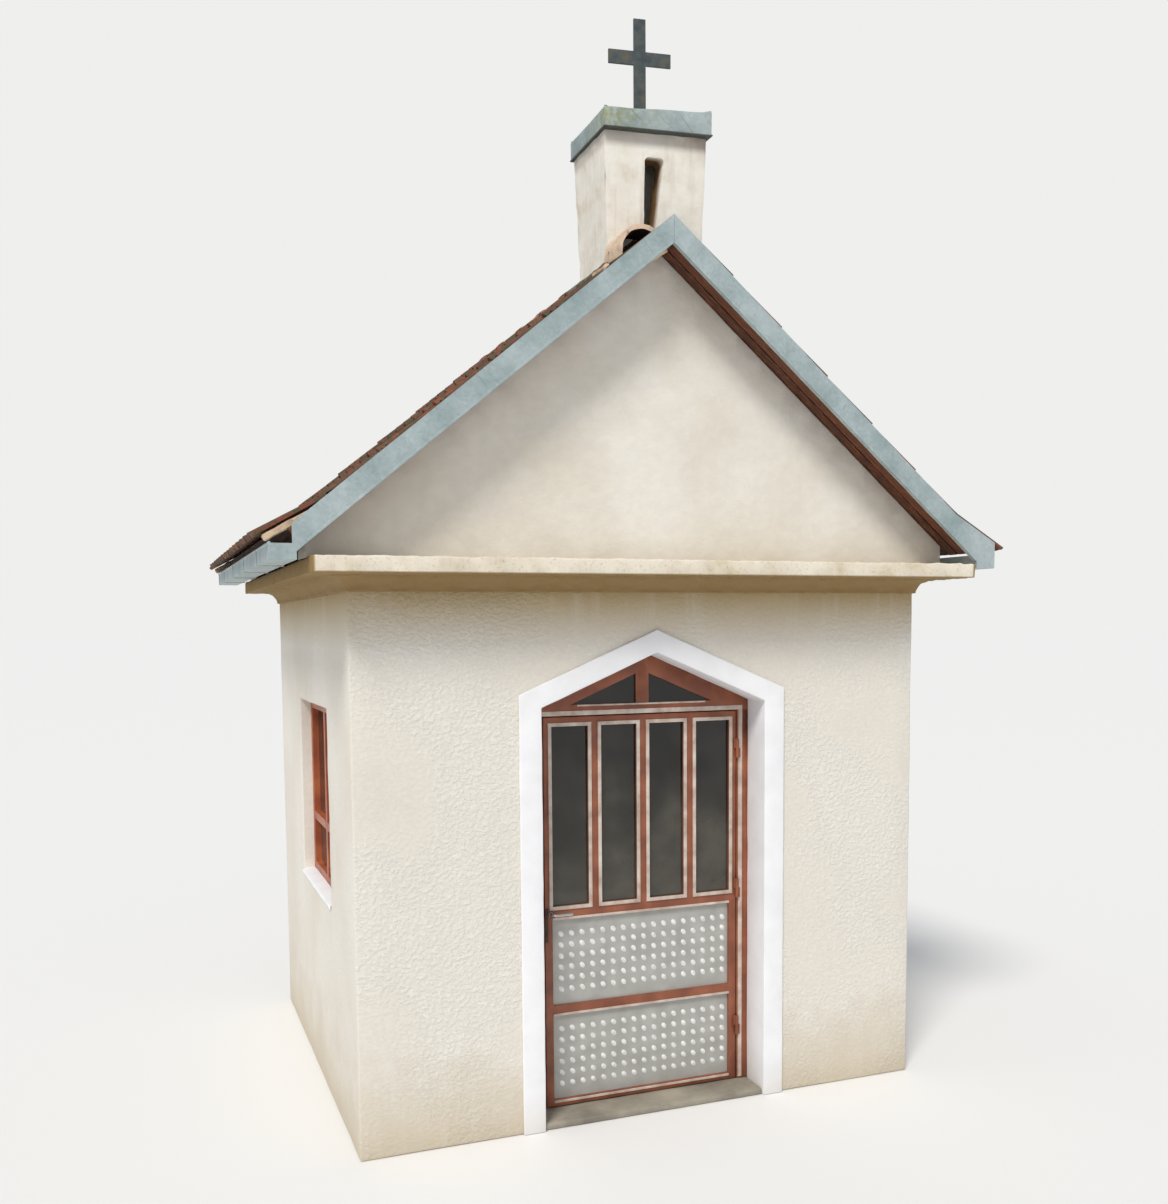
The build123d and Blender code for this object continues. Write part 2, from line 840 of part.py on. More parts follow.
fan_floor = shoulder_height
fan_top = head_apex - fan_bar / cos(head_slope)
fan_side = fan_post / 2
fan_panes = (
    ((fan_top - fan_floor) / tan(head_slope), fan_floor),
    (fan_side, fan_floor),
    (fan_side, fan_top - fan_side * tan(head_slope)),
)
with BuildPart() as fanlight_frame:
    with BuildSketch(cross_section(frame_face)):
        with BuildLine():
            Polyline(*pointed_head(lining_half, lining_shoulder, transom_bottom), close=True)
        make_face()
    extrude(amount=-frame_depth)
    with BuildSketch(cross_section(frame_face)):
        with BuildLine():
            Polyline(*fan_panes, close=True)
        make_face()
        mirror(about=Plane.YZ)
    extrude(amount=-frame_depth, mode=Mode.SUBTRACT)
save(fanlight_frame, "fanlight_frame")

glass_front = frame_face + (leaf_depth - glass_thickness) / 2
with BuildPart() as fanlight_glass:
    with BuildSketch(cross_section(glass_front)):
        with BuildLine():
            Polyline(*fan_panes, close=True)
        make_face()
        mirror(about=Plane.YZ)
    extrude(amount=-glass_thickness)
save(fanlight_glass, "fanlight_glass")

# Door leaf: a welded frame with four tall panes over two sheet panels
with BuildPart() as door_leaf:
    with BuildSketch(cross_section(frame_face)):
        with Locations((0, (leaf_bottom + leaf_top) / 2)):
            Rectangle(2 * leaf_half, leaf_top - leaf_bottom)
        with Locations((0, pane_middle)):
            with GridLocations(pane_pitch, 1, pane_count, 1):
                Rectangle(pane_width, pane_height, mode=Mode.SUBTRACT)
        for low, high in (
            (lower_panel_bottom, middle_rail_bottom),
            (upper_panel_bottom, upper_panel_top),
        ):
            with Locations((0, (low + high) / 2)):
                Rectangle(panel_width, high - low, mode=Mode.SUBTRACT)
    extrude(amount=-leaf_depth)
save(door_leaf, "door_leaf")

with BuildPart() as door_glass:
    with BuildSketch(cross_section(glass_front)):
        with Locations((0, pane_middle)):
            with GridLocations(pane_pitch, 1, pane_count, 1):
                Rectangle(pane_width, pane_height)
    extrude(amount=-glass_thickness)
save(door_glass, "door_glass")

panel_front = frame_face + (leaf_depth - panel_thickness) / 2
with BuildPart() as door_panels:
    with BuildSketch(cross_section(panel_front)):
        for low, high in (
            (lower_panel_bottom, middle_rail_bottom),
            (upper_panel_bottom, upper_panel_top),
        ):
            with Locations((0, (low + high) / 2)):
                Rectangle(panel_width, high - low)
    extrude(amount=-panel_thickness)
save(door_panels, "door_panels")

# Lever handle on both sides of the leaf, each on a round rose
handle_x = -leaf_half + handle_from_edge
leaf_back = frame_face + leaf_depth
with BuildPart() as door_handle:
    for face, outward in ((frame_face, -1), (leaf_back, 1)):
        lever_y = face + outward * handle_reach
        with BuildSketch(cross_section(face)):
            with Locations((handle_x, handle_height)):
                Circle(rose_radius)
        extrude(amount=-outward * rose_thickness)
        with BuildLine() as lever_path:
            FilletPolyline(
                (handle_x, face, handle_height),
                (handle_x, lever_y, handle_height),
                (handle_x + lever_length, lever_y, handle_height),
                radius=lever_bend,
            )
        with BuildSketch(Plane(lever_path.line @ 0, z_dir=lever_path.line % 0)):
            Circle(lever_radius)
        sweep(path=lever_path.line)
save(door_handle, "door_handle")

# Lock plate on the front of the leaf, beside the handle
lock_plate_bottom = handle_height - lock_plate_drop
with BuildPart() as lock_plate:
    with Locations((-leaf_half + lock_plate_edge, frame_face, lock_plate_bottom)):
        Box(lock_plate_width, lock_plate_thickness, lock_plate_height,
            align=(Align.MIN, Align.MAX, Align.MIN))
save(lock_plate, "lock_plate")

# Barrel hinges: the pin and lower barrel are welded to the post, the upper barrel to the leaf
lowest_hinge = leaf_bottom + hinge_lower_edge
highest_hinge = leaf_top - hinge_upper_edge - 2 * hinge_length
hinge_heights = (lowest_hinge, (lowest_hinge + highest_hinge) / 2, highest_hinge)
with BuildPart() as hinge_pins:
    for height in hinge_heights:
        with Locations((pin_x, pin_y, height)):
            Cylinder(hinge_pin_radius, hinge_length * 2,
                     align=(Align.CENTER, Align.CENTER, Align.MIN))
            Cylinder(hinge_radius, hinge_length,
                     align=(Align.CENTER, Align.CENTER, Align.MIN))
        with Locations((pin_x, frame_face, height)):
            Box(door_gap / 2 + hinge_lap, frame_face - pin_y, hinge_length,
                align=(Align.MIN, Align.MAX, Align.MIN))
save(hinge_pins, "hinge_pins")

with BuildPart() as hinge_knuckles:
    for height in hinge_heights:
        knuckle_bottom = height + hinge_length + hinge_pin_clearance
        with Locations((pin_x, frame_face, knuckle_bottom)):
            Box(door_gap / 2 + hinge_lap, frame_face - pin_y, hinge_length,
                align=(Align.MAX, Align.MAX, Align.MIN))
        with Locations((pin_x, pin_y, knuckle_bottom)):
            Cylinder(hinge_radius, hinge_length,
                     align=(Align.CENTER, Align.CENTER, Align.MIN))
            Cylinder(hinge_pin_radius + hinge_pin_clearance, hinge_length,
                     align=(Align.CENTER, Align.CENTER, Align.MIN), mode=Mode.SUBTRACT)
save(hinge_knuckles, "hinge_knuckles")

# Side windows: a welded frame with a post and a low bar, one sheet of glass behind the bars
window_plane = Plane.YZ.offset(-half_width + window_recess)
window_middle = (window_bottom + window_top) / 2
light_width = (window_width - 2 * window_frame - window_bar) / 2
low_bar_bottom = window_bottom + window_bar_height
light_rows = (
    (window_bottom + window_frame, low_bar_bottom),
    (low_bar_bottom + window_bar, window_top - window_frame),
)
light_shift = (light_width + window_bar) / 2
with BuildPart() as left_window_frame:
    with BuildSketch(window_plane):
        with Locations((window_shift, window_middle)):
            Rectangle(window_width, window_height)
        for low, high in light_rows:
            with Locations(
                (window_shift - light_shift, (low + high) / 2),
                (window_shift + light_shift, (low + high) / 2),
            ):
                Rectangle(light_width, high - low, mode=Mode.SUBTRACT)
    extrude(amount=window_frame_depth)
save(left_window_frame, "left_window_frame")

with BuildPart() as right_window_frame:
    mirror(left_window_frame.part, about=Plane.YZ)
save(right_window_frame, "right_window_frame")

with BuildPart() as window_glass:
    with BuildSketch(window_plane.offset(window_glass_setback)):
        for low, high in light_rows:
            with Locations(
                (window_shift - light_shift, (low + high) / 2),
                (window_shift + light_shift, (low + high) / 2),
            ):
                Rectangle(light_width, high - low)
    extrude(amount=glass_thickness)
    mirror(about=Plane.YZ)
save(window_glass, "window_glass")

# Outer sills of concrete fall away from the frames and stand over the wall below
with BuildPart() as window_sills:
    with BuildSketch(Plane.XZ.offset(-window_shift)):
        with BuildLine():
            Polyline(
                (-half_width - sill_reach, window_bottom - sill_thickness),
                (-half_width, window_bottom - sill_thickness),
                (-half_width, window_bottom),
                (-half_width + window_recess, window_bottom),
                (-half_width + window_recess, window_bottom + sill_fall),
                (-half_width - sill_reach, window_bottom),
                close=True,
            )
        make_face()
    extrude(amount=window_width / 2, both=True)
    mirror(about=Plane.YZ)
save(window_sills, "window_sills")
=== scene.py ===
from math import atan2, cos, pi, radians, sin, tan
from random import Random

import bmesh
import bpy
from mathutils import Matrix, Vector, noise


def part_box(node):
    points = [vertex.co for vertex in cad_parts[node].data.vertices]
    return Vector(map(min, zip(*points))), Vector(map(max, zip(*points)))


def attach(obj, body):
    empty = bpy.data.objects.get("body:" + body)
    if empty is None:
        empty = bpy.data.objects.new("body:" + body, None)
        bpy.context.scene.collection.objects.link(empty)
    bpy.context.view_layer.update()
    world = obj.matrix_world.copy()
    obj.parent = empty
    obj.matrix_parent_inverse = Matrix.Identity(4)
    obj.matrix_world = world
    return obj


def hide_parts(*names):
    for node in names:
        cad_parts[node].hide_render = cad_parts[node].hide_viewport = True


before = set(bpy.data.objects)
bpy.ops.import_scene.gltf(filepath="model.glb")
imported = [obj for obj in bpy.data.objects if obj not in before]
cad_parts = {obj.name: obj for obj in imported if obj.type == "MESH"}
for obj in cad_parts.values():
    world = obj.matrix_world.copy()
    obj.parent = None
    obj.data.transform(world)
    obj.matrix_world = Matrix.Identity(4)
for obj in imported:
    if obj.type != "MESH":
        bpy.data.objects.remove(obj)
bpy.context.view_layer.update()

# Brick walls, coated outside and in with one skin of lime and cement render. The skin runs round
# the corners and into the reveals. Over the front it was thrown on in lumps, which catch the
# light, and near the ground it has drawn up damp and is stained.
wall_thickness = 0.25
head_pitch = radians(23)
arris_radius = 0.010
trowel_wave = 0.003
trowel_reach = 0.22
skin_slice = 0.12
skin_tuck = 0.014
slab_shade_drop = 0.26


def linear(code):
    """Linear colour of an sRGB hex value."""
    shares = [int(code[place:place + 2], 16) / 255 for place in (1, 3, 5)]
    bright = [s / 12.92 if s <= 0.04045 else ((s + 0.055) / 1.055) ** 2.4 for s in shares]
    return (*bright, 1.0)


def feed(tree, node, inputs):
    """Link or set these inputs of a node."""
    for socket, value in dict(inputs).items():
        if isinstance(value, bpy.types.NodeSocket):
            tree.links.new(value, node.inputs[socket])
        else:
            node.inputs[socket].default_value = value


def add(tree, kind, inputs=(), stops=(), **settings):
    """Add a node with its settings, its values and links, and the stops of its colour ramp."""
    node = tree.nodes.new("ShaderNode" + kind)
    for field, value in settings.items():
        setattr(node, field, value)
    feed(tree, node, inputs)
    for index, (place, colour) in enumerate(stops):
        elements = node.color_ramp.elements
        element = elements[index] if index < 2 else elements.new(place)
        element.position = place
        element.color = linear(colour)
    return node


def new_material(name):
    """An empty material, its tree, its shader and its Object coordinates."""
    material = bpy.data.materials.new(name)
    material.use_nodes = True
    tree = material.node_tree
    place = add(tree, "TexCoord").outputs["Object"]
    return material, tree, tree.nodes["Principled BSDF"], place


def per(millimetres):
    """Texture scale at which one feature has this size."""
    return 1000 / millimetres


def cad_copy(*names):
    """The merged solids of these CAD nodes, with their flat faces whole."""
    bm = bmesh.new()
    for name in names:
        bm.from_mesh(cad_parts[name].data)
    bmesh.ops.remove_doubles(bm, verts=bm.verts, dist=1e-5)
    bmesh.ops.dissolve_limit(bm, angle_limit=radians(1), verts=bm.verts, edges=bm.edges)
    return bm


def soften(bm, radius, segments=2):
    """Round every sharp edge."""
    sharp = [e for e in bm.edges if e.is_manifold and e.calc_face_angle() > radians(30)]
    bmesh.ops.bevel(bm, geom=sharp, offset=radius, offset_type="OFFSET", segments=segments,
                    profile=0.5, affect="EDGES", clamp_overlap=True, material=-1)


def slice_up(bm, step, axes):
    """Cut a body across in even steps, so that its faces can be made uneven."""
    for axis in axes:
        reach = [v.co[axis] for v in bm.verts]
        count = int((max(reach) - min(reach)) / step)
        for index in range(1, count):
            middle = Vector()
            middle[axis] = min(reach) + index * (max(reach) - min(reach)) / count
            across = Vector()
            across[axis] = 1
            everything = bm.verts[:] + bm.edges[:] + bm.faces[:]
            bmesh.ops.bisect_plane(bm, geom=everything, dist=1e-6, plane_co=middle,
                                   plane_no=across)


def uneven(bm, depth, width, shift=0.0):
    """Push the faces in and out by up to this depth, in waves of this width."""
    bm.normal_update()
    moves = [
        v.normal * depth * noise.noise(v.co / width + Vector((shift, shift, shift)))
        for v in bm.verts
    ]
    for v, move in zip(bm.verts, moves):
        v.co += move


def finish_piece(bm, name, material, body="chapel", stands_for=(), sharp=35):
    """Make a bmesh a finished piece that rides on its body and takes its finish from a slot."""
    mesh = bpy.data.meshes.new(name)
    bm.to_mesh(mesh)
    bm.free()
    mesh.materials.append(material)
    mesh.shade_smooth()
    mesh.set_sharp_from_angle(angle=radians(sharp))
    piece = bpy.data.objects.new(name, mesh)
    bpy.context.scene.collection.objects.link(piece)
    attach(piece, body)
    if stands_for:
        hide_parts(*stands_for)
    return piece


def coat(node, material):
    """Give a CAD node that is shown as it is its material."""
    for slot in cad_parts[node].material_slots:
        slot.material = material


def lime_render(name, colour, dark, stain, lump, relief, front_only):
    """Lime and cement render: matt and chalky, thrown in lumps of one size, pitted between them."""
    material, tree, shader, place = new_material(name)
    where = add(tree, "SeparateXYZ", {"Vector": place})
    wide = add(tree, "TexNoise", {"Vector": place, "Scale": per(700), "Detail": 4.0})
    tone = add(tree, "ValToRGB", {"Fac": wide.outputs["Fac"]},
               stops=((0.35, dark), (0.62, colour)))
    lying = add(tree, "Mapping", {"Vector": place, "Scale": (1.0, 1.0, 1.2)})
    lumps = add(tree, "TexNoise", {"Vector": lying.outputs["Vector"], "Scale": per(lump),
                                   "Detail": 6.0, "Roughness": 0.6})
    raised = add(tree, "MapRange", {"Value": lumps.outputs["Fac"], "From Min": 0.32,
                                    "From Max": 0.68}, interpolation_type="SMOOTHSTEP")
    # The grains of sand are finer than this, and are drawn at 4 mm so that they show
    grit = add(tree, "TexNoise", {"Vector": place, "Scale": per(4), "Detail": 4.0})
    # The pits between the lumps are darkened a little as painted shade
    shaded_pits = add(tree, "MixRGB", {"Fac": 0.05, "Color1": tone.outputs["Color"],
                                "Color2": raised.outputs["Result"]}, blend_type="MULTIPLY")
    # Damp has risen in patches from the ground
    patches = add(tree, "TexNoise", {"Vector": place, "Scale": per(260), "Detail": 5.0,
                                     "Roughness": 0.65})
    reach = add(tree, "Math", {0: patches.outputs["Fac"], 1: 0.95}, operation="MULTIPLY")
    damp = add(tree, "MapRange", {"Value": where.outputs["Z"], "From Min": reach.outputs[0],
                                  "From Max": 0.0, "To Max": 0.65})
    wet = add(tree, "MixRGB", {"Fac": damp.outputs["Result"], "Color1": shaded_pits.outputs["Color"],
                               "Color2": linear(stain)})
    # The top of the wall is darkened to ochre as painted shade under the slab, with some soil from
    # it, and the gables above it stay clean
    under_slab = add(tree, "MapRange", {"Value": where.outputs["Z"],
                                        "From Min": slab_low - slab_shade_drop,
                                        "From Max": slab_low + 0.02, "To Max": 0.95})
    fading = add(tree, "MapRange", {"Value": where.outputs["Z"], "From Min": slab_low + 0.10,
                                    "From Max": slab_low + 0.08})
    slab_shade_and_soil = add(tree, "Math", {0: under_slab.outputs["Result"], 1: fading.outputs["Result"]},
                  operation="MULTIPLY")
    soiled = add(tree, "MixRGB", {"Fac": slab_shade_and_soil.outputs[0], "Color1": wet.outputs["Color"],
                                  "Color2": linear("#ab9462")})
    # Rain has washed faint streaks down the face
    falling = add(tree, "Mapping", {"Vector": place, "Scale": (1.0, 1.0, 0.06)})
    streaks = add(tree, "TexNoise", {"Vector": falling.outputs["Vector"], "Scale": per(60),
                                     "Detail": 4.0})
    washed = add(tree, "MapRange", {"Value": streaks.outputs["Fac"], "From Min": 0.52,
                                    "From Max": 0.75, "To Max": 0.22})
    streaked = add(tree, "MixRGB", {"Fac": washed.outputs["Result"],
                                    "Color1": soiled.outputs["Color"], "Color2": linear(dark)})
    strength = relief
    if front_only:
        # Only the front was thrown rough, and the sides were smoothed with a float
        front = add(tree, "MapRange", {"Value": where.outputs["Y"], "From Min": wall_front + 0.03,
                                       "From Max": wall_front, "To Min": 0.35 * relief,
                                       "To Max": relief})
        floated = add(tree, "MapRange", {"Value": wide.outputs["Fac"], "From Min": 0.42,
                                         "From Max": 0.56, "To Min": 0.35, "To Max": 1.0})
        strength = add(tree, "Math", {0: front.outputs["Result"], 1: floated.outputs["Result"]},
                       operation="MULTIPLY").outputs[0]
    coarse = add(tree, "Bump", {"Height": raised.outputs["Result"], "Strength": strength,
                                "Distance": 0.006})
    fine = add(tree, "Bump", {"Height": grit.outputs["Fac"], "Strength": 0.35,
                              "Distance": 0.0015, "Normal": coarse.outputs["Normal"]})
    feed(tree, shader, {"Base Color": streaked.outputs["Color"], "Roughness": 0.92,
                        "Specular IOR Level": 0.25, "Normal": fine.outputs["Normal"]})
    return material


wall_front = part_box("front_wall_left")[0][1]
slab_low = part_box("cornice_slab")[0][2]
wall_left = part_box("rear_wall")[0][0]
wall_right, wall_back, wall_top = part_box("rear_wall")[1]
window_low, window_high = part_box("left_window_frame")
opening_half = -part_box("front_wall_left")[1][0]
opening_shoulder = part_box("front_wall_over_door")[0][2]
opening_apex = opening_shoulder + opening_half * tan(head_pitch)

# The render runs on a little way behind the foot of the slab's cove
skin_height = wall_top + skin_tuck
wall_skin = bmesh.new()
bmesh.ops.create_cube(wall_skin, size=1)
bmesh.ops.scale(wall_skin, verts=wall_skin.verts,
                vec=(wall_right - wall_left, wall_back - wall_front, skin_height))
bmesh.ops.translate(wall_skin, verts=wall_skin.verts, vec=(0, 0, skin_height / 2))
ends = [f for f in wall_skin.faces if abs(f.normal.z) > 0.5]
bmesh.ops.delete(wall_skin, geom=ends, context="FACES")


def cut_across(bm, faces, point, direction):
    """Cut these faces of a body along a plane."""
    edges = {e for f in faces for e in f.edges}
    verts = {v for f in faces for v in f.verts}
    bmesh.ops.bisect_plane(bm, geom=[*faces, *edges, *verts], dist=1e-6, plane_co=point,
                           plane_no=direction)


window_cuts = (
    ((0, window_low[1], 0), (0, 1, 0)),
    ((0, window_high[1], 0), (0, 1, 0)),
    ((0, 0, window_low[2]), (0, 0, 1)),
    ((0, 0, window_high[2]), (0, 0, 1)),
)
for point, direction in window_cuts:
    sides = [f for f in wall_skin.faces if abs(f.normal.x) > 0.5]
    cut_across(wall_skin, sides, point, direction)
doorway_cuts = (
    ((-opening_half, 0, 0), (1, 0, 0)),
    ((opening_half, 0, 0), (1, 0, 0)),
    ((0, 0, opening_apex), (sin(head_pitch), 0, cos(head_pitch))),
    ((0, 0, opening_apex), (-sin(head_pitch), 0, cos(head_pitch))),
)
for point, direction in doorway_cuts:
    fronts = [f for f in wall_skin.faces if f.normal.y < -0.5]
    cut_across(wall_skin, fronts, point, direction)


def in_an_opening(face):
    """Whether a face of the wall skin fills a window or the doorway."""
    x, y, z = face.calc_center_median()
    if abs(face.normal.x) > 0.5:
        return window_low[1] < y < window_high[1] and window_low[2] < z < window_high[2]
    inside = abs(x) < opening_half and z < opening_apex - abs(x) * tan(head_pitch)
    return face.normal.y < -0.5 and inside


holes = [f for f in wall_skin.faces if in_an_opening(f)]
bmesh.ops.delete(wall_skin, geom=holes, context="FACES")
bmesh.ops.solidify(wall_skin, geom=wall_skin.faces[:], thickness=wall_thickness)
bmesh.ops.recalc_face_normals(wall_skin, faces=wall_skin.faces)
soften(wall_skin, arris_radius, 3)
slice_up(wall_skin, skin_slice, (0, 1, 2))
uneven(wall_skin, trowel_wave, trowel_reach)
render_coat = lime_render("lime_cement_render", "#ece7dd", "#e2dbcf", "#c3b294", 22, 0.6, True)
wall_nodes = (
    "front_wall_left", "front_wall_right", "front_wall_over_door", "rear_wall",
    "side_walls_below_windows", "side_walls_over_windows",
    "side_wall_front_piers", "side_wall_rear_piers",
)
finish_piece(wall_skin, "rendered_walls", render_coat, stands_for=wall_nodes)

# Ceiling slab of cast concrete. Its edge is run as a cove under a square fascia and limewashed.
# The arrises were struck by hand and have crumbled a little, and rain has marked the face.
fascia_height = 0.072
arris_loss = 0.006
arris_wave = 0.030
slab_slice = 0.022
fascia_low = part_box("cornice_slab")[1][2] - fascia_height
slab_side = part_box("cornice_slab")[1][0]
# Limewash is chalky and quite matt, and it clouds where the coats were thin
limewash, tree, shader, place = new_material("limewashed_concrete")
where = add(tree, "SeparateXYZ", {"Vector": place})
cloud = add(tree, "TexNoise", {"Vector": place, "Scale": per(180), "Detail": 5.0, "Roughness": 0.6})
wash = add(tree, "ValToRGB", {"Fac": cloud.outputs["Fac"]},
           stops=((0.28, "#cdbf9f"), (0.42, "#ddd2be"), (0.60, "#e7decd")))
# Limewash has worn off in small spots, where the sand of the concrete shows
spots = add(tree, "TexNoise", {"Vector": place, "Scale": per(15), "Detail": 4.0, "Roughness": 0.7})
bare = add(tree, "MapRange", {"Value": spots.outputs["Fac"], "From Min": 0.56,
                              "From Max": 0.70, "To Max": 0.45})
spotted = add(tree, "MixRGB", {"Fac": bare.outputs["Result"], "Color1": wash.outputs["Color"],
                               "Color2": linear("#a08a63")})
# Below the fascia the cove is painted brown as the shade under it
painted_cove_shade = add(tree, "MapRange", {"Value": where.outputs["Z"], "From Min": fascia_low + 0.009,
                              "From Max": fascia_low + 0.002, "To Max": 0.92})
# The slab's side edges below the gutters are painted as brown as the cove, as shade
aside = add(tree, "Math", {0: where.outputs["X"]}, operation="ABSOLUTE")
painted_side_shade = add(tree, "MapRange", {"Value": aside.outputs["Value"], "From Min": slab_side - 0.016,
                                 "From Max": slab_side - 0.006, "To Max": 0.95})
soiled = add(tree, "Math", {0: painted_cove_shade.outputs["Result"], 1: painted_side_shade.outputs["Result"]},
             operation="MAXIMUM")
cove_and_side_shade = add(tree, "MixRGB", {"Fac": soiled.outputs["Value"],
                                 "Color1": spotted.outputs["Color"],
                                 "Color2": linear("#8c7040")})
pitted = add(tree, "Bump", {"Height": spots.outputs["Fac"], "Strength": 0.5, "Distance": 0.004})
feed(tree, shader, {"Base Color": cove_and_side_shade.outputs["Color"], "Roughness": 0.9,
                    "Specular IOR Level": 0.25, "Normal": pitted.outputs["Normal"]})

cornice = cad_copy("cornice_slab")
soften(cornice, arris_loss)
slice_up(cornice, slab_slice, (0, 1))
uneven(cornice, arris_loss, arris_wave)
finish_piece(cornice, "cornice", limewash, stands_for=("cornice_slab",), sharp=50)

# The floor inside is concrete with a trowelled screed. A concrete sill lies between the door
# jambs, and feet have worn it uneven and rounded its edge.
sill_wear = 0.003
sill_wave = 0.09
# Screed is grey, flat and dusty, in lighter and darker clouds. Its sand is finer than the 3 mm at
# which it is drawn so that it shows.
screed, tree, shader, place = new_material("screeded_concrete")
cloud = add(tree, "TexNoise", {"Vector": place, "Scale": per(300), "Detail": 6.0, "Roughness": 0.6})
grey = add(tree, "ValToRGB", {"Fac": cloud.outputs["Fac"]},
           stops=((0.35, "#7d776b"), (0.65, "#a59d8d")))
sand = add(tree, "TexNoise", {"Vector": place, "Scale": per(3), "Detail": 3.0})
sanded = add(tree, "Bump", {"Height": sand.outputs["Fac"], "Strength": 0.4, "Distance": 0.001})
feed(tree, shader, {"Base Color": grey.outputs["Color"], "Roughness": 0.85,
                    "Normal": sanded.outputs["Normal"]})
coat("floor", screed)

sill = cad_copy("door_sill")
soften(sill, 0.006)
slice_up(sill, 0.06, (0, 1))
uneven(sill, sill_wear, sill_wave)
finish_piece(sill, "worn_door_sill", screed, stands_for=("door_sill",))

# Gable walls of brick stand on the slab and close the two ends of the roof. They have the same
# render as the walls, floated smoother than on the front.
gable_wave = 0.003
gable_reach = 0.25
gable_coat = lime_render("floated_render", "#ebe6dc", "#dfd7c9", "#c2a877", 60, 0.2, False)
gables = cad_copy("front_gable", "rear_gable")
soften(gables, 0.006)
slice_up(gables, skin_slice, (0, 2))
uneven(gables, gable_wave, gable_reach, 3.0)
finish_piece(gables, "rendered_gables", gable_coat,
             stands_for=("front_gable", "rear_gable"))

# Roof timbers of spruce, stained dark brown. Rough boards lie along the building over the
# rafters, and three planed boards run down each verge, where they show from below.
deck_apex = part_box("front_gable")[1][2]
roof_pitch = radians(39.5)
board_thickness = 0.024
board_gap = 0.006
verge_gap = 0.012
boards_low_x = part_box("rafters")[1][0]
roof_run = boards_low_x / cos(roof_pitch)
verge_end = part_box("battens")[1][1]
verge_board_count = 3
verge_board_stains = (0.25, 0.65, 0.35)
deck_board_count = 18


def timber(name, light, dark, grain_along_y):
    """Stained softwood: dark and dry, with grain lines along the board, orange where it is worn.
    A board's tint, where it has one, says how thin its stain is."""
    material, tree, shader, place = new_material(name)
    depth = add(tree, "Attribute", attribute_name="tint").outputs["Fac"]
    stretch = (1.0, 0.05, 1.0) if grain_along_y else (0.12, 1.0, 0.12)
    along = add(tree, "Mapping", {"Vector": place, "Scale": stretch})
    grain = add(tree, "TexNoise", {"Vector": along.outputs["Vector"], "Scale": per(9),
                                   "Detail": 6.0, "Roughness": 0.6, "Distortion": 0.4})
    stain = add(tree, "ValToRGB", {"Fac": grain.outputs["Fac"]},
                stops=((0.34, dark), (0.52, light), (0.66, "#87502c")))
    thin = add(tree, "MapRange", {"Value": depth, "To Max": 0.5})
    stained = add(tree, "MixRGB", {"Fac": thin.outputs["Result"], "Color1": stain.outputs["Color"],
                                   "Color2": linear("#8a4a2a")})
    lines = add(tree, "Bump", {"Height": grain.outputs["Fac"], "Strength": 0.5,
                               "Distance": 0.0015})
    feed(tree, shader, {"Base Color": stained.outputs["Color"], "Roughness": 0.7,
                        "Normal": lines.outputs["Normal"]})
    return material


def on_slope(side, bm, verts):
    """Turn a body drawn flat, down the slope along X, onto the right (1) or left (-1) slope."""
    turned = Matrix.Rotation(roof_pitch, 4, "Y")
    raised = Matrix.Translation((0, 0, deck_apex))
    bmesh.ops.transform(bm, matrix=raised @ turned, verts=verts)
    if side < 0:
        bmesh.ops.scale(bm, verts=verts, vec=(-1, 1, 1))
        faces = list({f for v in verts for f in v.link_faces})
        bmesh.ops.reverse_faces(bm, faces=faces)


def board(bm, low, high, radius=0.0015):
    """A square-edged board between two corners, its arrises eased. Returns its vertices."""
    verts = bmesh.ops.create_cube(bm, size=1)["verts"]
    size = [b - a for a, b in zip(low, high)]
    middle = [(a + b) / 2 for a, b in zip(low, high)]
    bmesh.ops.scale(bm, verts=verts, vec=size)
    bmesh.ops.translate(bm, verts=verts, vec=middle)
    edges = list({e for v in verts for e in v.link_edges})
    done = bmesh.ops.bevel(bm, geom=edges, offset=radius, offset_type="OFFSET", segments=1,
                           profile=0.5, affect="EDGES", clamp_overlap=True, material=-1)
    return list({v for f in done["faces"] for v in f.verts})


dark_spruce = timber("stained_spruce", "#4a2b1c", "#26170f", False)
deck_spruce = timber("stained_spruce_deck", "#4a2b1c", "#26170f", True)
verge_width = verge_end - wall_back
verge_board = (verge_width - (verge_board_count - 1) * verge_gap) / verge_board_count
verge_boards = bmesh.new()
stain_layer = verge_boards.faces.layers.float.new("tint")
for side in (-1, 1):
    for index in range(verge_board_count):
        start = wall_back + index * (verge_board + verge_gap)
        for low_y, high_y in ((start, start + verge_board), (-start - verge_board, -start)):
            verts = board(verge_boards, (0.0, low_y, 0.0), (roof_run, high_y, board_thickness))
            for face in {f for v in verts for f in v.link_faces}:
                face[stain_layer] = verge_board_stains[index]
            on_slope(side, verge_boards, verts)
finish_piece(verge_boards, "verge_boards", dark_spruce)

deck_boards = bmesh.new()
deck_pitch = roof_run / deck_board_count
for side in (-1, 1):
    for index in range(deck_board_count):
        low = index * deck_pitch
        verts = board(deck_boards, (low, -wall_back + board_gap, 0.0),
                      (low + deck_pitch - board_gap / 2, wall_back - board_gap, board_thickness))
        on_slope(side, deck_boards, verts)
finish_piece(deck_boards, "deck_boards", deck_spruce,
             stands_for=("roof_boards_left", "roof_boards_right"))
for node in ("wall_plates", "ridge_beam", "battens"):
    coat(node, deck_spruce)
rafters = cad_copy("rafters")
soften(rafters, 0.003, 1)
finish_piece(rafters, "planed_rafters", dark_spruce, stands_for=("rafters",))

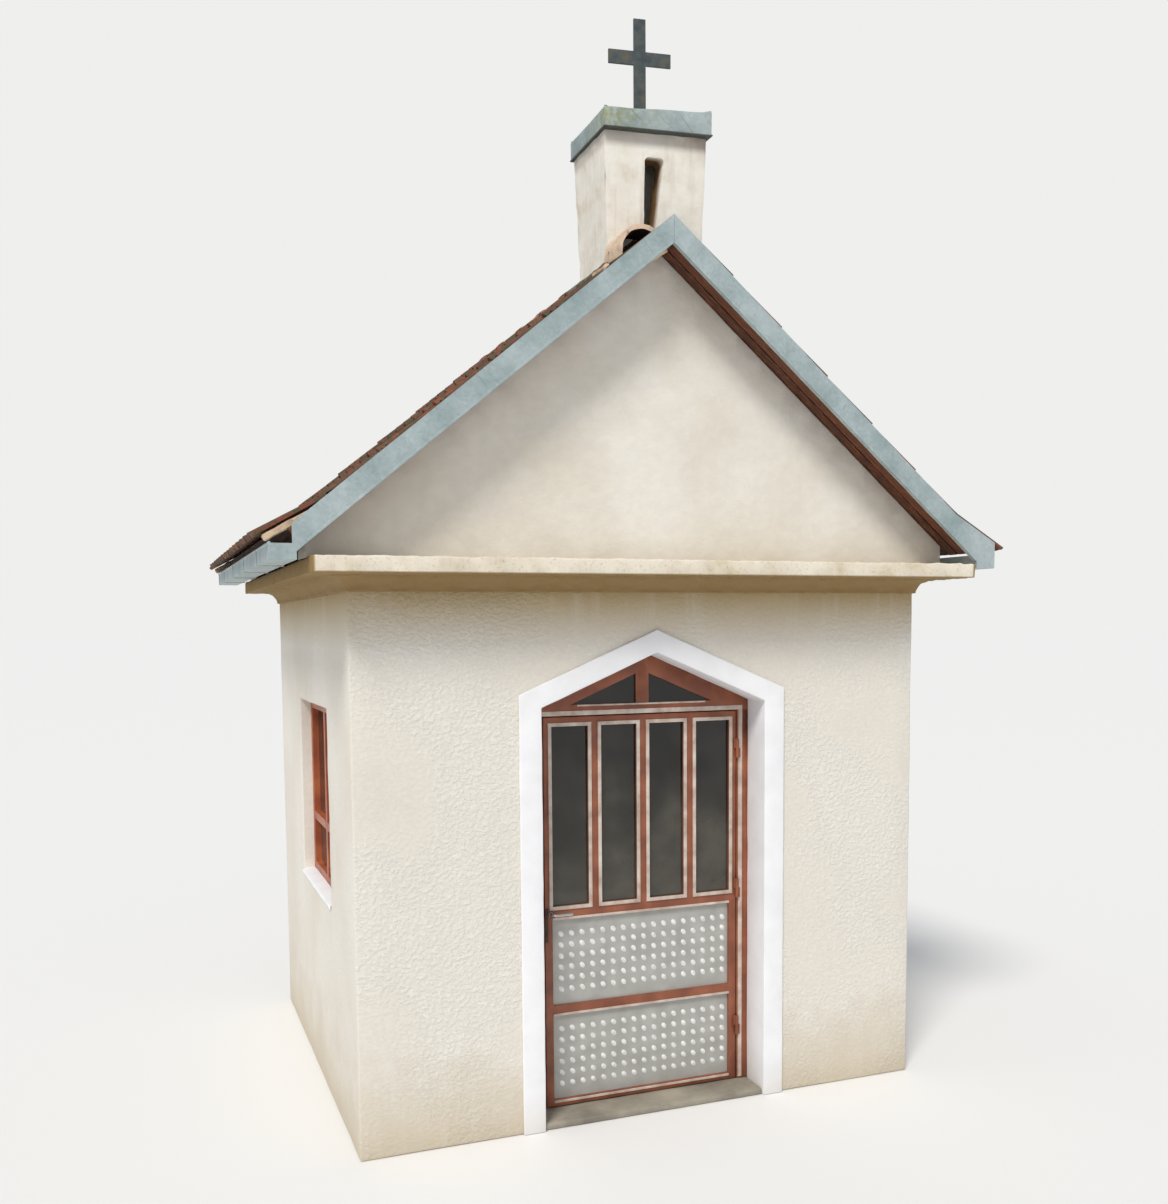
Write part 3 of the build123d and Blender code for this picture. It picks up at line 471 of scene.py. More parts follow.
# Interlocking clay tiles with a roll at one edge and a rib in the middle, hung on the battens.
# Each differs a little in colour and seat, and moss and lichen have grown where they stay wet.
course_count = 7
column_count = 15
tile_bed = 0.049
tile_thickness = 0.014
tile_step = 0.016
eaves_tilt = 0.060
level_courses = 6
verge_cut_width = 0.045
verge_cut_height = 0.069
butt_rise = 0.009
ridge_gap = 0.060
tile_roll = 0.019
tile_rib = 0.008
tile_lap = 0.055
tile_overhang = 0.117
tile_seat = 0.008
tile_jog = 0.002
tile_lift = 0.003
roll_reach = 0.17
rib_reach = 0.09
turret_cut_in = 0.045
first_seed = 7
tiles_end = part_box("tiles_right")[1][1]
course_length = (roof_run + tile_overhang) / course_count
column_width = 2 * tiles_end / column_count
turret_low, turret_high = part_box("turret")
turret_skew = tan(radians(7))
turret_middle = (turret_low[1] + turret_high[1]) / 2
turret_foot_half = 0.1775


def clay(name, fresh, burnt, moss_share):
    """Weathered clay: matt and open-pored, darker with soot, with moss and pale lichen on it."""
    material, tree, shader, place = new_material(name)
    tint = add(tree, "Attribute", attribute_name="tint").outputs["Fac"]
    body = add(tree, "MixRGB", {"Fac": tint, "Color1": linear(burnt), "Color2": linear(fresh)})
    bloom = add(tree, "TexNoise", {"Vector": place, "Scale": per(90), "Detail": 6.0,
                                   "Roughness": 0.65})
    worn = add(tree, "MapRange", {"Value": bloom.outputs["Fac"], "From Min": 0.42,
                                  "From Max": 0.70, "To Max": 0.55})
    sooty = add(tree, "MixRGB", {"Fac": worn.outputs["Result"], "Color1": body.outputs["Color"],
                                 "Color2": linear("#5b4436")})
    tufts = add(tree, "TexNoise", {"Vector": place, "Scale": per(38), "Detail": 7.0,
                                   "Roughness": 0.7})
    moss = add(tree, "MapRange", {"Value": tufts.outputs["Fac"], "From Min": 0.62 - moss_share,
                                  "From Max": 0.70 - moss_share, "To Max": 0.85})
    mossy = add(tree, "MixRGB", {"Fac": moss.outputs["Result"], "Color1": sooty.outputs["Color"],
                                 "Color2": linear("#454a30")})
    lichen = add(tree, "TexNoise", {"Vector": place, "Scale": per(70), "Detail": 8.0,
                                    "Roughness": 0.75, "Distortion": 0.6})
    patch = add(tree, "MapRange", {"Value": lichen.outputs["Fac"], "From Min": 0.60,
                                   "From Max": 0.68, "To Max": 0.6})
    mottled = add(tree, "MixRGB", {"Fac": patch.outputs["Result"],
                                   "Color1": mossy.outputs["Color"],
                                   "Color2": linear("#b3a98c")})
    # The pores are finer than this, and are drawn at 5 mm so that they show
    pores = add(tree, "TexNoise", {"Vector": place, "Scale": per(5), "Detail": 3.0})
    raised = add(tree, "Math", {0: pores.outputs["Fac"], 1: moss.outputs["Result"]},
                 operation="ADD")
    skin = add(tree, "Bump", {"Height": raised.outputs[0], "Strength": 0.6, "Distance": 0.003})
    feed(tree, shader, {"Base Color": mottled.outputs["Color"], "Roughness": 0.85,
                        "Normal": skin.outputs["Normal"]})
    return material


def tile_height(across):
    """Height of a tile's face at this share of its width: half a roll at each edge, and a rib."""
    edge = min(across, 1 - across)
    roll = tile_roll * max(0.0, cos(pi * min(edge / roll_reach, 1.0) / 2)) ** 1.5
    rib = tile_rib * max(0.0, cos(pi * min(abs(across - 0.5) / rib_reach, 1.0) / 2))
    return roll + rib


def lay_tile(bm, course, column, chance):
    """Lay one tile, its butt over the tile below. The lowest course tilts up at the eaves, and
    the tiles at the verge are trimmed to go under the sheet, where only their butts stand up."""
    made = bmesh.ops.create_grid(bm, x_segments=1, y_segments=16, size=0.5)["verts"]
    butt = (course + 1) * course_length
    behind_turret = -tiles_end + column * column_width > turret_middle
    head_lap = tile_lap if course else -ridge_gap * behind_turret
    length = course_length + head_lap
    jog = chance.uniform(-tile_jog, tile_jog)
    lift = chance.uniform(0.0, tile_lift)
    for v in made:
        across = v.co.y + 0.5
        down = butt + jog - (0.5 - v.co.x) * length
        tilt = eaves_tilt * max(0.0, down / course_length - level_courses)
        share = 1 - (butt - down) / course_length
        step = tile_step * share
        y = -tiles_end + (column + across) * column_width
        height = tile_bed + tile_thickness + step + tile_height(across) - tile_seat + lift
        if abs(y) > tiles_end - verge_cut_width:
            height = min(height, verge_cut_height + butt_rise * max(0.0, share) ** 2)
        v.co = (down, y, height + tilt)
    faces = list({f for v in made for f in v.link_faces})
    thick = bmesh.ops.solidify(bm, geom=faces, thickness=tile_thickness)["geom"]
    whole = set(faces) | {g for g in thick if isinstance(g, bmesh.types.BMFace)}
    verts = {v for f in whole for v in f.verts}
    whole = {f for v in verts for f in v.link_faces}
    tint_layer = bm.faces.layers.float["tint"]
    tint = chance.random()
    for face in whole:
        face[tint_layer] = tint
    return list(verts)


def tile_slope(side):
    """All the tiles of one slope but those that the turret stands through."""
    chance = Random(first_seed + side)
    bm = bmesh.new()
    bm.faces.layers.float.new("tint")
    for course in range(course_count):
        for column in range(column_count):
            low_y = -tiles_end + column * column_width
            high_y = low_y + column_width
            front_wall = turret_middle - turret_foot_half + turret_cut_in
            rear_wall = turret_middle + turret_foot_half - turret_cut_in
            if course == 0 and low_y > front_wall and high_y < rear_wall:
                continue
            verts = lay_tile(bm, course, column, chance)
            if course == 0 and low_y < rear_wall and high_y > front_wall:
                faces = {f for v in verts for f in v.link_faces}
                edges = {e for v in verts for e in v.link_edges}
                front = low_y < front_wall
                wall = front_wall if front else rear_wall
                cut = bmesh.ops.bisect_plane(
                    bm, geom=[*verts, *edges, *faces], dist=1e-6, plane_co=(0, wall, 0),
                    plane_no=(0, 1, 0), clear_outer=front, clear_inner=not front)
                verts = [g for g in cut["geom"] if isinstance(g, bmesh.types.BMVert)]
                verts = [v for v in verts if v.is_valid]
            on_slope(side, bm, verts)
    bmesh.ops.recalc_face_normals(bm, faces=bm.faces)
    return bm


roof_clay = clay("weathered_clay", "#8c4c37", "#573428", 0.15)
for side, node in ((-1, "tiles_left"), (1, "tiles_right")):
    finish_piece(tile_slope(side), f"laid_{node}", roof_clay, stands_for=(node,),
                 sharp=40)

# Half-round ridge tiles, each with a collar that laps the next, bedded in mortar over the heads of
# the first courses. The one in front of the turret is wider, has slipped down to the left and is
# smeared with pale mortar.
ridge_radius = 0.090
ridge_wall = 0.014
collar_proud = 0.006
collar_length = 0.05
ridge_sink = 0.094
slipped_radius = 0.125
slipped_wall = 0.022
slipped_place = (-0.130, -0.164)
slipped_lean = radians(-14)
slipped_tuck = 0.02
slipped_collar = 0.0001
slipped_wave = 0.006
slipped_reach = 0.04
ridge_nod = 0.006
ridge_tuck = 0.012
ridge_joint = 0.001
ridge_top = deck_apex + (tile_bed + 0.020) / cos(roof_pitch)
ridge_turn = radians(196)
ridge_steps = 20
ridge_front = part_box("ridge_tiles")[0][1]
ridge_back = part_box("ridge_tiles")[1][1]
ridge_count = 6


def ridge_tile(bm, start, end, radius, wall, collar, middle, lean, chance):
    """Turn one half-round tile about its axis, with its collar at the far end."""
    profile = (
        (radius + collar, end), (radius + collar, end - collar_length),
        (radius, end - collar_length), (radius, start), (radius - wall, start),
        (radius - wall, end),
    )
    verts = [bm.verts.new((r, y, 0)) for r, y in profile]
    edges = [bm.edges.new((a, b)) for a, b in zip(verts, verts[1:] + verts[:1])]
    first = Matrix.Rotation(ridge_turn / 2 - pi / 2 + lean, 3, "Y")
    bmesh.ops.rotate(bm, cent=(0, 0, 0), matrix=first, verts=verts)
    spun = bmesh.ops.spin(bm, geom=verts + edges, cent=(0, 0, 0), axis=(0, 1, 0),
                          angle=-ridge_turn, steps=ridge_steps, use_merge=False)
    last = [g for g in spun["geom_last"] if isinstance(g, bmesh.types.BMEdge)]
    for loop in (edges, last):
        bmesh.ops.edgeloop_fill(bm, edges=loop)
    whole = set(verts)
    grown = True
    while grown:
        reach = {o for v in whole for e in v.link_edges for o in e.verts} - whole
        whole |= reach
        grown = bool(reach)
    nod = Matrix.Rotation(chance.uniform(-ridge_nod, ridge_nod), 3, "X")
    bmesh.ops.rotate(bm, cent=(0, (start + end) / 2, 0), matrix=nod, verts=list(whole))
    bmesh.ops.translate(bm, verts=list(whole), vec=(middle[0], 0, ridge_top + middle[1]))
    tint = chance.random()
    tint_layer = bm.faces.layers.float["tint"]
    for face in {f for v in whole for f in v.link_faces}:
        face[tint_layer] = tint


chance = Random(first_seed)
ridge = bmesh.new()
ridge.faces.layers.float.new("tint")
ridge_start = turret_middle + turret_foot_half - ridge_tuck
ridge_pitch = (ridge_back - ridge_start) / ridge_count
for index in range(ridge_count):
    start = ridge_start + index * ridge_pitch
    ridge_tile(ridge, start, start + ridge_pitch - ridge_joint, ridge_radius, ridge_wall,
               collar_proud, (0, -ridge_sink), 0.0, chance)
bmesh.ops.recalc_face_normals(ridge, faces=ridge.faces)
ridge_clay = clay("ridge_clay", "#b3704f", "#7d4632", 0.10)
finish_piece(ridge, "lapped_ridge_tiles", ridge_clay, stands_for=("ridge_tiles",))

slipped = bmesh.new()
slipped.faces.layers.float.new("tint")
slipped_end = turret_middle - turret_foot_half + slipped_tuck
ridge_tile(slipped, ridge_front, slipped_end, slipped_radius, slipped_wall, slipped_collar,
           slipped_place, slipped_lean, chance)
bmesh.ops.recalc_face_normals(slipped, faces=slipped.faces)
# Its hollow is painted near black, as the shade inside it
axis = Vector((slipped_place[0], 0, ridge_top + slipped_place[1]))
tint_layer = slipped.faces.layers.float["tint"]
for face in slipped.faces:
    spoke = face.calc_center_median() - axis
    spoke.y = 0
    inside = spoke.length < slipped_radius - slipped_wall + 0.002
    face[tint_layer] = 0.0 if inside else 1.0
slice_up(slipped, 0.02, (1,))
uneven(slipped, slipped_wave, slipped_reach)
# The burnt colour stands for the painted shade of the hollow
clay_with_shaded_hollow = clay("mortar_smeared_clay", "#e4c9ae", "#2b1f18", 0.0)
finish_piece(slipped, "slipped_ridge_tile", clay_with_shaded_hollow)

# Lime mortar beds the ridge tiles on the heads of the first courses, and shows in an uneven line
# along their edges. The slipped tile has a bed only at its foot on the left.
bed_half = 0.020
bed_depth = 0.006
bed_height = 0.022
bed_radius = 0.008
bed_wave = 0.008
bed_reach = 0.03
# Mortar is buff, dry and sandy. Its sand is finer than the 5 mm at which it is drawn.
mortar, tree, shader, place = new_material("lime_mortar")
cloud = add(tree, "TexNoise", {"Vector": place, "Scale": per(45), "Detail": 6.0})
buff = add(tree, "ValToRGB", {"Fac": cloud.outputs["Fac"]},
           stops=((0.35, "#a08a70"), (0.60, "#d3b99c")))
sand = add(tree, "TexNoise", {"Vector": place, "Scale": per(5), "Detail": 4.0})
sanded = add(tree, "Bump", {"Height": sand.outputs["Fac"], "Strength": 0.6, "Distance": 0.003})
feed(tree, shader, {"Base Color": buff.outputs["Color"], "Roughness": 0.95,
                    "Normal": sanded.outputs["Normal"]})
bedding = bmesh.new()
bed_down = ridge_radius / cos(roof_pitch)
slipped_foot = (slipped_radius - slipped_place[0]) / cos(roof_pitch)
bed_runs = (
    (1, bed_down, ridge_start, ridge_back - 0.01),
    (-1, bed_down, ridge_start, ridge_back - 0.01),
    (-1, slipped_foot, ridge_front + 0.012, slipped_end),
)
for side, down, low_y, high_y in bed_runs:
    verts = board(bedding, (down - bed_half, low_y, tile_bed + tile_thickness - bed_depth),
                  (down + bed_half, high_y, tile_bed + tile_thickness + bed_height), bed_radius)
    on_slope(side, bedding, verts)
slice_up(bedding, 0.03, (1,))
uneven(bedding, bed_wave, bed_reach)
finish_piece(bedding, "ridge_bedding", mortar)

# At the left eave the flashing stops short, so the lowest tile is bedded there on pale mortar that
# closes the joint under its edge. It follows the tilt of the course.
joint_depth = 0.026
joint_width = 0.040
verge_mortar = bmesh.new()
bed_start = (level_courses - 0.15) * course_length
bed_end = course_count * course_length - 0.012
eaves_slant = atan2(eaves_tilt, course_length)
for front in (1, -1):
    near, far = sorted((-front * tiles_end, -front * (tiles_end - joint_width)))
    verts = board(verge_mortar, (bed_start, near, tile_bed - joint_depth),
                  (bed_end, far, tile_bed + 0.004), 0.006)
    hinge = (level_courses * course_length, 0, tile_bed)
    bmesh.ops.rotate(verge_mortar, cent=hinge, matrix=Matrix.Rotation(-eaves_slant, 3, "Y"),
                     verts=verts)
    on_slope(-1, verge_mortar, verts)
slice_up(verge_mortar, 0.025, (0,))
uneven(verge_mortar, 0.006, 0.04)
finish_piece(verge_mortar, "verge_bedding", mortar)

# Verge flashings of zinc-coated sheet, folded up each slope over the tile ends. They are dull and
# pale with age, a little buckled, and joined by laps near the top and half way down.
spangle = 14
lap_width = 0.055
lap_proud = 0.0015
lap_places = (0.09, 1.12)
hem_height = 0.012
hem_proud = 0.003
sheet_top = 0.070
sheet_low = -0.030
buckle_depth = 0.0016
buckle_width = 0.19


def zinc(name, pale, dull, bloom_colour):
    """Weathered zinc coating: a faint crystal spangle under a dull grey-green bloom."""
    material, tree, shader, place = new_material(name)
    crystals = add(tree, "TexVoronoi", {"Vector": place, "Scale": per(spangle)})
    shade = add(tree, "SeparateColor", {"Color": crystals.outputs["Color"]})
    cloud = add(tree, "TexNoise", {"Vector": place, "Scale": per(210), "Detail": 6.0,
                                   "Roughness": 0.6})
    base = add(tree, "ValToRGB", {"Fac": cloud.outputs["Fac"]},
               stops=((0.34, dull), (0.62, pale)))
    flecked = add(tree, "MixRGB", {"Fac": 0.07, "Color1": base.outputs["Color"],
                                   "Color2": shade.outputs["Red"]}, blend_type="OVERLAY")
    salts = add(tree, "TexNoise", {"Vector": place, "Scale": per(48), "Detail": 6.0,
                                   "Roughness": 0.7})
    crust = add(tree, "MapRange", {"Value": salts.outputs["Fac"], "From Min": 0.56,
                                   "From Max": 0.72, "To Max": 0.5})
    aged = add(tree, "MixRGB", {"Fac": crust.outputs["Result"],
                                "Color1": flecked.outputs["Color"],
                                "Color2": linear(bloom_colour)})
    gloss = add(tree, "MapRange", {"Value": cloud.outputs["Fac"], "To Min": 0.48,
                                   "To Max": 0.72})
    buckles = add(tree, "Bump", {"Height": cloud.outputs["Fac"], "Strength": 0.35,
                                 "Distance": 0.012})
    feed(tree, shader, {"Base Color": aged.outputs["Color"], "Metallic": 0.35,
                        "Roughness": gloss.outputs["Result"], "Normal": buckles.outputs["Normal"]})
    return material


aged_zinc = zinc("weathered_zinc", "#b4c0c1", "#98a8a9", "#a3afa0")
flashing_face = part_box("verge_flashing_front")[0][1]
flashings = cad_copy("verge_flashing_front", "verge_flashing_rear")
slice_up(flashings, 0.07, (0,))
uneven(flashings, buckle_depth, buckle_width)
for side in (-1, 1):
    for face in (flashing_face, -flashing_face):
        outer = face - lap_proud if face < 0 else face
        for down in lap_places:
            verts = board(flashings, (down, outer, sheet_low + 0.002),
                          (down + lap_width, outer + lap_proud, sheet_top - 0.002), 0.0004)
            on_slope(side, flashings, verts)
        outer = face - hem_proud if face < 0 else face
        verts = board(flashings, (0.03, outer, sheet_low),
                      (roof_run - 0.03, outer + hem_proud, sheet_low + hem_height), 0.0012)
        on_slope(side, flashings, verts)
finish_piece(flashings, "verge_flashings", aged_zinc,
             stands_for=("verge_flashing_front", "verge_flashing_rear"), sharp=25)

# Box gutters of the same sheet lie in strap brackets that hang from the roof boards. Their outer
# lip is rolled round a wire.
gutter_wave = 0.0012
gutter_reach = 0.3
bead_radius = 0.007
gutters = cad_copy("gutter_left", "gutter_right")
slice_up(gutters, 0.15, (1,))
uneven(gutters, gutter_wave, gutter_reach)
gutter_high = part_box("gutter_right")[1]
for side in (-1, 1):
    rolled = bmesh.ops.create_cone(gutters, cap_ends=True, segments=12, radius1=bead_radius,
                                   radius2=bead_radius, depth=2 * gutter_high[1])["verts"]
    bmesh.ops.rotate(gutters, cent=(0, 0, 0), matrix=Matrix.Rotation(pi / 2, 3, "X"),
                     verts=rolled)
    bmesh.ops.translate(gutters, verts=rolled,
                        vec=(side * (gutter_high[0] - bead_radius / 2), 0, gutter_high[2]))
finish_piece(gutters, "box_gutters", aged_zinc,
             stands_for=("gutter_left", "gutter_right"), sharp=30)
coat("gutter_brackets", aged_zinc)

# Turret of rendered brick astride the ridge, whitewashed, with one tall slot. Rain has streaked it,
# a band under the cap is painted grey as the cap's shadow with some soot, and rust has run down
# beside the right-hand corner.
turret_wave = 0.005
turret_reach = 0.07
cap_shadow_height = 0.045
rust_height = 0.16
slot_half = 0.075
# Whitewash is chalky and dead matt, and wears off in runs
whitewash, tree, shader, place = new_material("streaked_whitewash")
where = add(tree, "SeparateXYZ", {"Vector": place})
cloud = add(tree, "TexNoise", {"Vector": place, "Scale": per(120), "Detail": 6.0, "Roughness": 0.6})
chalk = add(tree, "ValToRGB", {"Fac": cloud.outputs["Fac"]},
            stops=((0.28, "#d6ccba"), (0.46, "#e4ded2"), (0.66, "#ebe7dd")))
falling = add(tree, "Mapping", {"Vector": place, "Scale": (1.0, 1.0, 0.09)})
streaks = add(tree, "TexNoise", {"Vector": falling.outputs["Vector"], "Scale": per(26),
                                 "Detail": 5.0, "Roughness": 0.6})
run = add(tree, "MapRange", {"Value": streaks.outputs["Fac"], "From Min": 0.50,
                             "From Max": 0.76, "To Max": 0.35})
washed = add(tree, "MixRGB", {"Fac": run.outputs["Result"], "Color1": chalk.outputs["Color"],
                              "Color2": linear("#b5aba0")})
top = turret_high[2]
# The grey band under the cap is painted shadow of the cap, with some soot
cap_shadow_band = add(tree, "MapRange", {"Value": where.outputs["Z"],
                                   "From Min": top - cap_shadow_height - 0.030,
                                   "From Max": top - cap_shadow_height, "To Max": 0.5})
cap_shadowed = add(tree, "MixRGB", {"Fac": cap_shadow_band.outputs["Result"],
                              "Color1": washed.outputs["Color"], "Color2": linear("#a39a92")})
corner = add(tree, "MapRange", {"Value": where.outputs["X"], "From Min": 0.10,
                                "From Max": 0.24})
near_top = add(tree, "MapRange", {"Value": where.outputs["Z"], "From Min": top - rust_height,
                                  "From Max": top - 0.01})
rust_run = add(tree, "Math", {0: corner.outputs["Result"], 1: near_top.outputs["Result"]},
               operation="MULTIPLY")
rust_share = add(tree, "Math", {0: rust_run.outputs[0], 1: streaks.outputs["Fac"]},
                 operation="MULTIPLY")
rusted = add(tree, "MixRGB", {"Fac": rust_share.outputs[0], "Color1": cap_shadowed.outputs["Color"],
                              "Color2": linear("#6d4a24")})
# The sides of the slot are painted brown as the shade inside it
slot_depth = add(tree, "MapRange", {"Value": where.outputs["Y"], "From Min": turret_low[1] + 0.045,
                                    "From Max": turret_low[1] + 0.085})
slot_end = add(tree, "MapRange", {"Value": where.outputs["Y"], "From Min": turret_middle,
                                  "From Max": turret_middle - 0.02})
slot_reach = add(tree, "Math", {0: where.outputs["X"]}, operation="ABSOLUTE")
slot_band = add(tree, "MapRange", {"Value": slot_reach.outputs[0],
                                   "From Min": slot_half + 0.010, "From Max": slot_half})
in_slot = add(tree, "Math", {0: slot_depth.outputs["Result"], 1: slot_band.outputs["Result"]},
              operation="MULTIPLY")
slot_shade_share = add(tree, "Math", {0: in_slot.outputs[0], 1: slot_end.outputs["Result"]},
                 operation="MULTIPLY")
shaded_slot_sides = add(tree, "MixRGB", {"Fac": slot_shade_share.outputs[0], "Color1": rusted.outputs["Color"],
                                 "Color2": linear("#7c5f3d")})
lumps = add(tree, "TexNoise", {"Vector": place, "Scale": per(34), "Detail": 5.0, "Roughness": 0.6})
rough = add(tree, "Bump", {"Height": lumps.outputs["Fac"], "Strength": 0.5, "Distance": 0.006})
feed(tree, shader, {"Base Color": shaded_slot_sides.outputs["Color"], "Roughness": 0.92,
                    "Specular IOR Level": 0.25, "Normal": rough.outputs["Normal"]})
turret = cad_copy("turret")
soften(turret, 0.008)
slice_up(turret, 0.03, (0, 1, 2))
uneven(turret, turret_wave, turret_reach)
finish_piece(turret, "turret_shaft", whitewash, stands_for=("turret",), sharp=50)

# Mortar is thrown along the foot of the turret to keep rain out of the joint with the tiles. It
# stays wet and has gone green.
fillet_half = 0.018
foot_flare = 0.022
mossy_mortar = clay("mossy_mortar", "#a59880", "#7d735f", 0.15)
fillet = bmesh.new()
for side, edge in ((-1, -turret_low[0]), (1, turret_high[0])):
    down = (edge - foot_flare + 0.008) / cos(roof_pitch)
    foot_low = turret_middle - turret_foot_half
    foot_high = turret_middle + turret_foot_half
    verts = board(fillet, (down - fillet_half, foot_low, tile_bed + 0.010),
                  (down + fillet_half, foot_high, tile_bed + 0.042), 0.01)
    on_slope(side, fillet, verts)
    for face_y in (foot_low - 0.004, foot_high + 0.004):
        verts = board(fillet, (0.02, face_y - fillet_half, tile_bed + 0.016),
                      (down + fillet_half, face_y + fillet_half, tile_bed + 0.044), 0.01)
        on_slope(side, fillet, verts)
slice_up(fillet, 0.025, (0, 1))
uneven(fillet, 0.006, 0.03)
for v in fillet.verts:
    v.co.y -= v.co.x * turret_skew
finish_piece(fillet, "turret_foot_mortar", mossy_mortar)

# The turret's cap is a concrete slab dressed in zinc sheet. The sheet is folded over the edge
# into a drip, creased where it was beaten flat, and yellow lichen grows at one corner.
drip_height = 0.010
drip_proud = 0.003
hip_rise = 0.018
hip_run = 0.150
cap_tilt = tan(radians(2.2))
seam_half = 0.005
seam_rise = 0.007
seam_inset = 0.004
crease_half = 0.003
crease_ends = ((-0.135, -0.055), (-0.02, 0.075), (0.10, 0.16))
cap_zinc = zinc("lichened_zinc", "#adb8b8", "#8c9a99", "#a5aa98")
tree = cap_zinc.node_tree
shader = tree.nodes["Principled BSDF"]
place = add(tree, "TexCoord").outputs["Object"]
aged = shader.inputs["Base Color"].links[0].from_socket
cap_low, cap_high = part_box("turret_cap")
from_corner = add(tree, "VectorMath", {0: place, 1: (cap_low[0], cap_low[1], cap_high[2])},
                  operation="DISTANCE")
growth = add(tree, "TexNoise", {"Vector": place, "Scale": per(30), "Detail": 7.0, "Roughness": 0.7})
near = add(tree, "MapRange", {"Value": from_corner.outputs["Value"], "From Min": 0.34,
                              "From Max": 0.02})
thick = add(tree, "MapRange", {"Value": growth.outputs["Fac"], "From Min": 0.42,
                               "From Max": 0.58})
share = add(tree, "Math", {0: near.outputs["Result"], 1: thick.outputs["Result"]},
            operation="MULTIPLY")
grown = add(tree, "MixRGB", {"Fac": share.outputs[0], "Color1": aged,
                             "Color2": linear("#8b8d5c")})
# The lowest few millimetres of the drip are painted dark as shade under the cap's edge
where = add(tree, "SeparateXYZ", {"Vector": place})
drip_shade = add(tree, "MapRange", {"Value": where.outputs["Z"], "From Min": cap_low[2] + drip_height,
                                  "From Max": cap_low[2] + 0.004, "To Max": 0.85})
drip_shaded = add(tree, "MixRGB", {"Fac": drip_shade.outputs["Result"], "Color1": grown.outputs["Color"],
                             "Color2": linear("#35362f")})
tree.links.new(drip_shaded.outputs["Color"], shader.inputs["Base Color"])
cap = cad_copy("turret_cap")
soften(cap, 0.004)
slice_up(cap, 0.05, (0, 1))
uneven(cap, 0.003, 0.12, 5.0)
cap_half = (cap_high[0] - cap_low[0]) / 2
cap_shift = (cap_high[0] + cap_low[0]) / 2
cap_front = cap_low[1] + cap_half * turret_skew
cap_back = cap_high[1] - cap_half * turret_skew
verts = board(cap, (cap_low[0] - drip_proud, cap_front - drip_proud, cap_low[2]),
              (cap_high[0] + drip_proud, cap_back + drip_proud, cap_low[2] + drip_height), 0.003)
for v in verts:
    v.co.y -= (v.co.x - cap_shift) * turret_skew
# Folded seams run from the corners of the top towards its middle. Creases slant across the front.
seams = []
for side in (-1, 1):
    for edge, inward in ((cap_front, 1), (cap_back, -1)):
        skewed = edge - side * (cap_half - seam_inset) * turret_skew
        foot = Vector((cap_shift + side * (cap_half - seam_inset), skewed + inward * seam_inset,
                       cap_high[2] - hip_rise + side * cap_half * cap_tilt))
        head = Vector((cap_shift + side * (cap_half - hip_run),
                       edge - side * (cap_half - hip_run) * turret_skew + inward * hip_run,
                       cap_high[2]))
        seams.append((foot, head, seam_half, seam_rise))
for high_x, low_x in crease_ends:
    ends = [Vector((x, cap_front - (x - cap_shift) * turret_skew + 0.002, z))
            for x, z in ((high_x, cap_high[2] - 0.030), (low_x, cap_low[2] + 0.014))]
    seams.append((*ends, crease_half, 0.0))
for foot, head, half, rise in seams:
    run = head - foot
    verts = board(cap, (0, -half, -0.004), (run.length, half, rise), 0.001)
    turn = run.to_track_quat("X", "Z").to_matrix()
    bmesh.ops.rotate(cap, cent=(0, 0, 0), matrix=turn, verts=verts)
    bmesh.ops.translate(cap, verts=verts, vec=foot)
finish_piece(cap, "zinc_cap", cap_zinc, stands_for=("turret_cap",), sharp=30)

# Cross of flat steel bars welded to a foot plate, which four bolts hold on the cap. Its dark
# green-grey paint is matt and has chalked.
bolt_radius = 0.008
bolt_height = 0.008
bolt_spread = 0.048
foot_plate = 0.012
cross_turn = Matrix.Rotation(radians(-8), 3, "Z")
iron_paint, tree, shader, place = new_material("chalked_iron_paint")
cloud = add(tree, "TexNoise", {"Vector": place, "Scale": per(40), "Detail": 6.0})
slate = add(tree, "ValToRGB", {"Fac": cloud.outputs["Fac"]},
            stops=((0.34, "#363f42"), (0.54, "#464e4e"), (0.72, "#5c5546")))
brushed = add(tree, "Bump", {"Height": cloud.outputs["Fac"], "Strength": 0.25,
                             "Distance": 0.001})
feed(tree, shader, {"Base Color": slate.outputs["Color"], "Roughness": 0.6,
                    "Normal": brushed.outputs["Normal"]})
cross_low, cross_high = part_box("cross")
cross = cad_copy("cross")
soften(cross, 0.0015, 1)
cross_y = (cross_low[1] + cross_high[1]) / 2
for x in (-bolt_spread, bolt_spread):
    for y in (-bolt_spread, bolt_spread):
        head = bmesh.ops.create_cone(cross, cap_ends=True, segments=6, radius1=bolt_radius,
                                     radius2=bolt_radius, depth=bolt_height)["verts"]
        bmesh.ops.translate(cross, verts=head, vec=(x, y, 0))
        bmesh.ops.rotate(cross, cent=(0, 0, 0), matrix=cross_turn, verts=head)
        bmesh.ops.translate(cross, verts=head, vec=(0, cross_y, cross_low[2] + foot_plate))
finish_piece(cross, "steel_cross", iron_paint, stands_for=("cross",))

# Raised band of white plaster round the doorway, run straight with a float and painted. It
# returns into the reveal as far as the door frame.
float_wave = 0.002
float_reach = 0.12
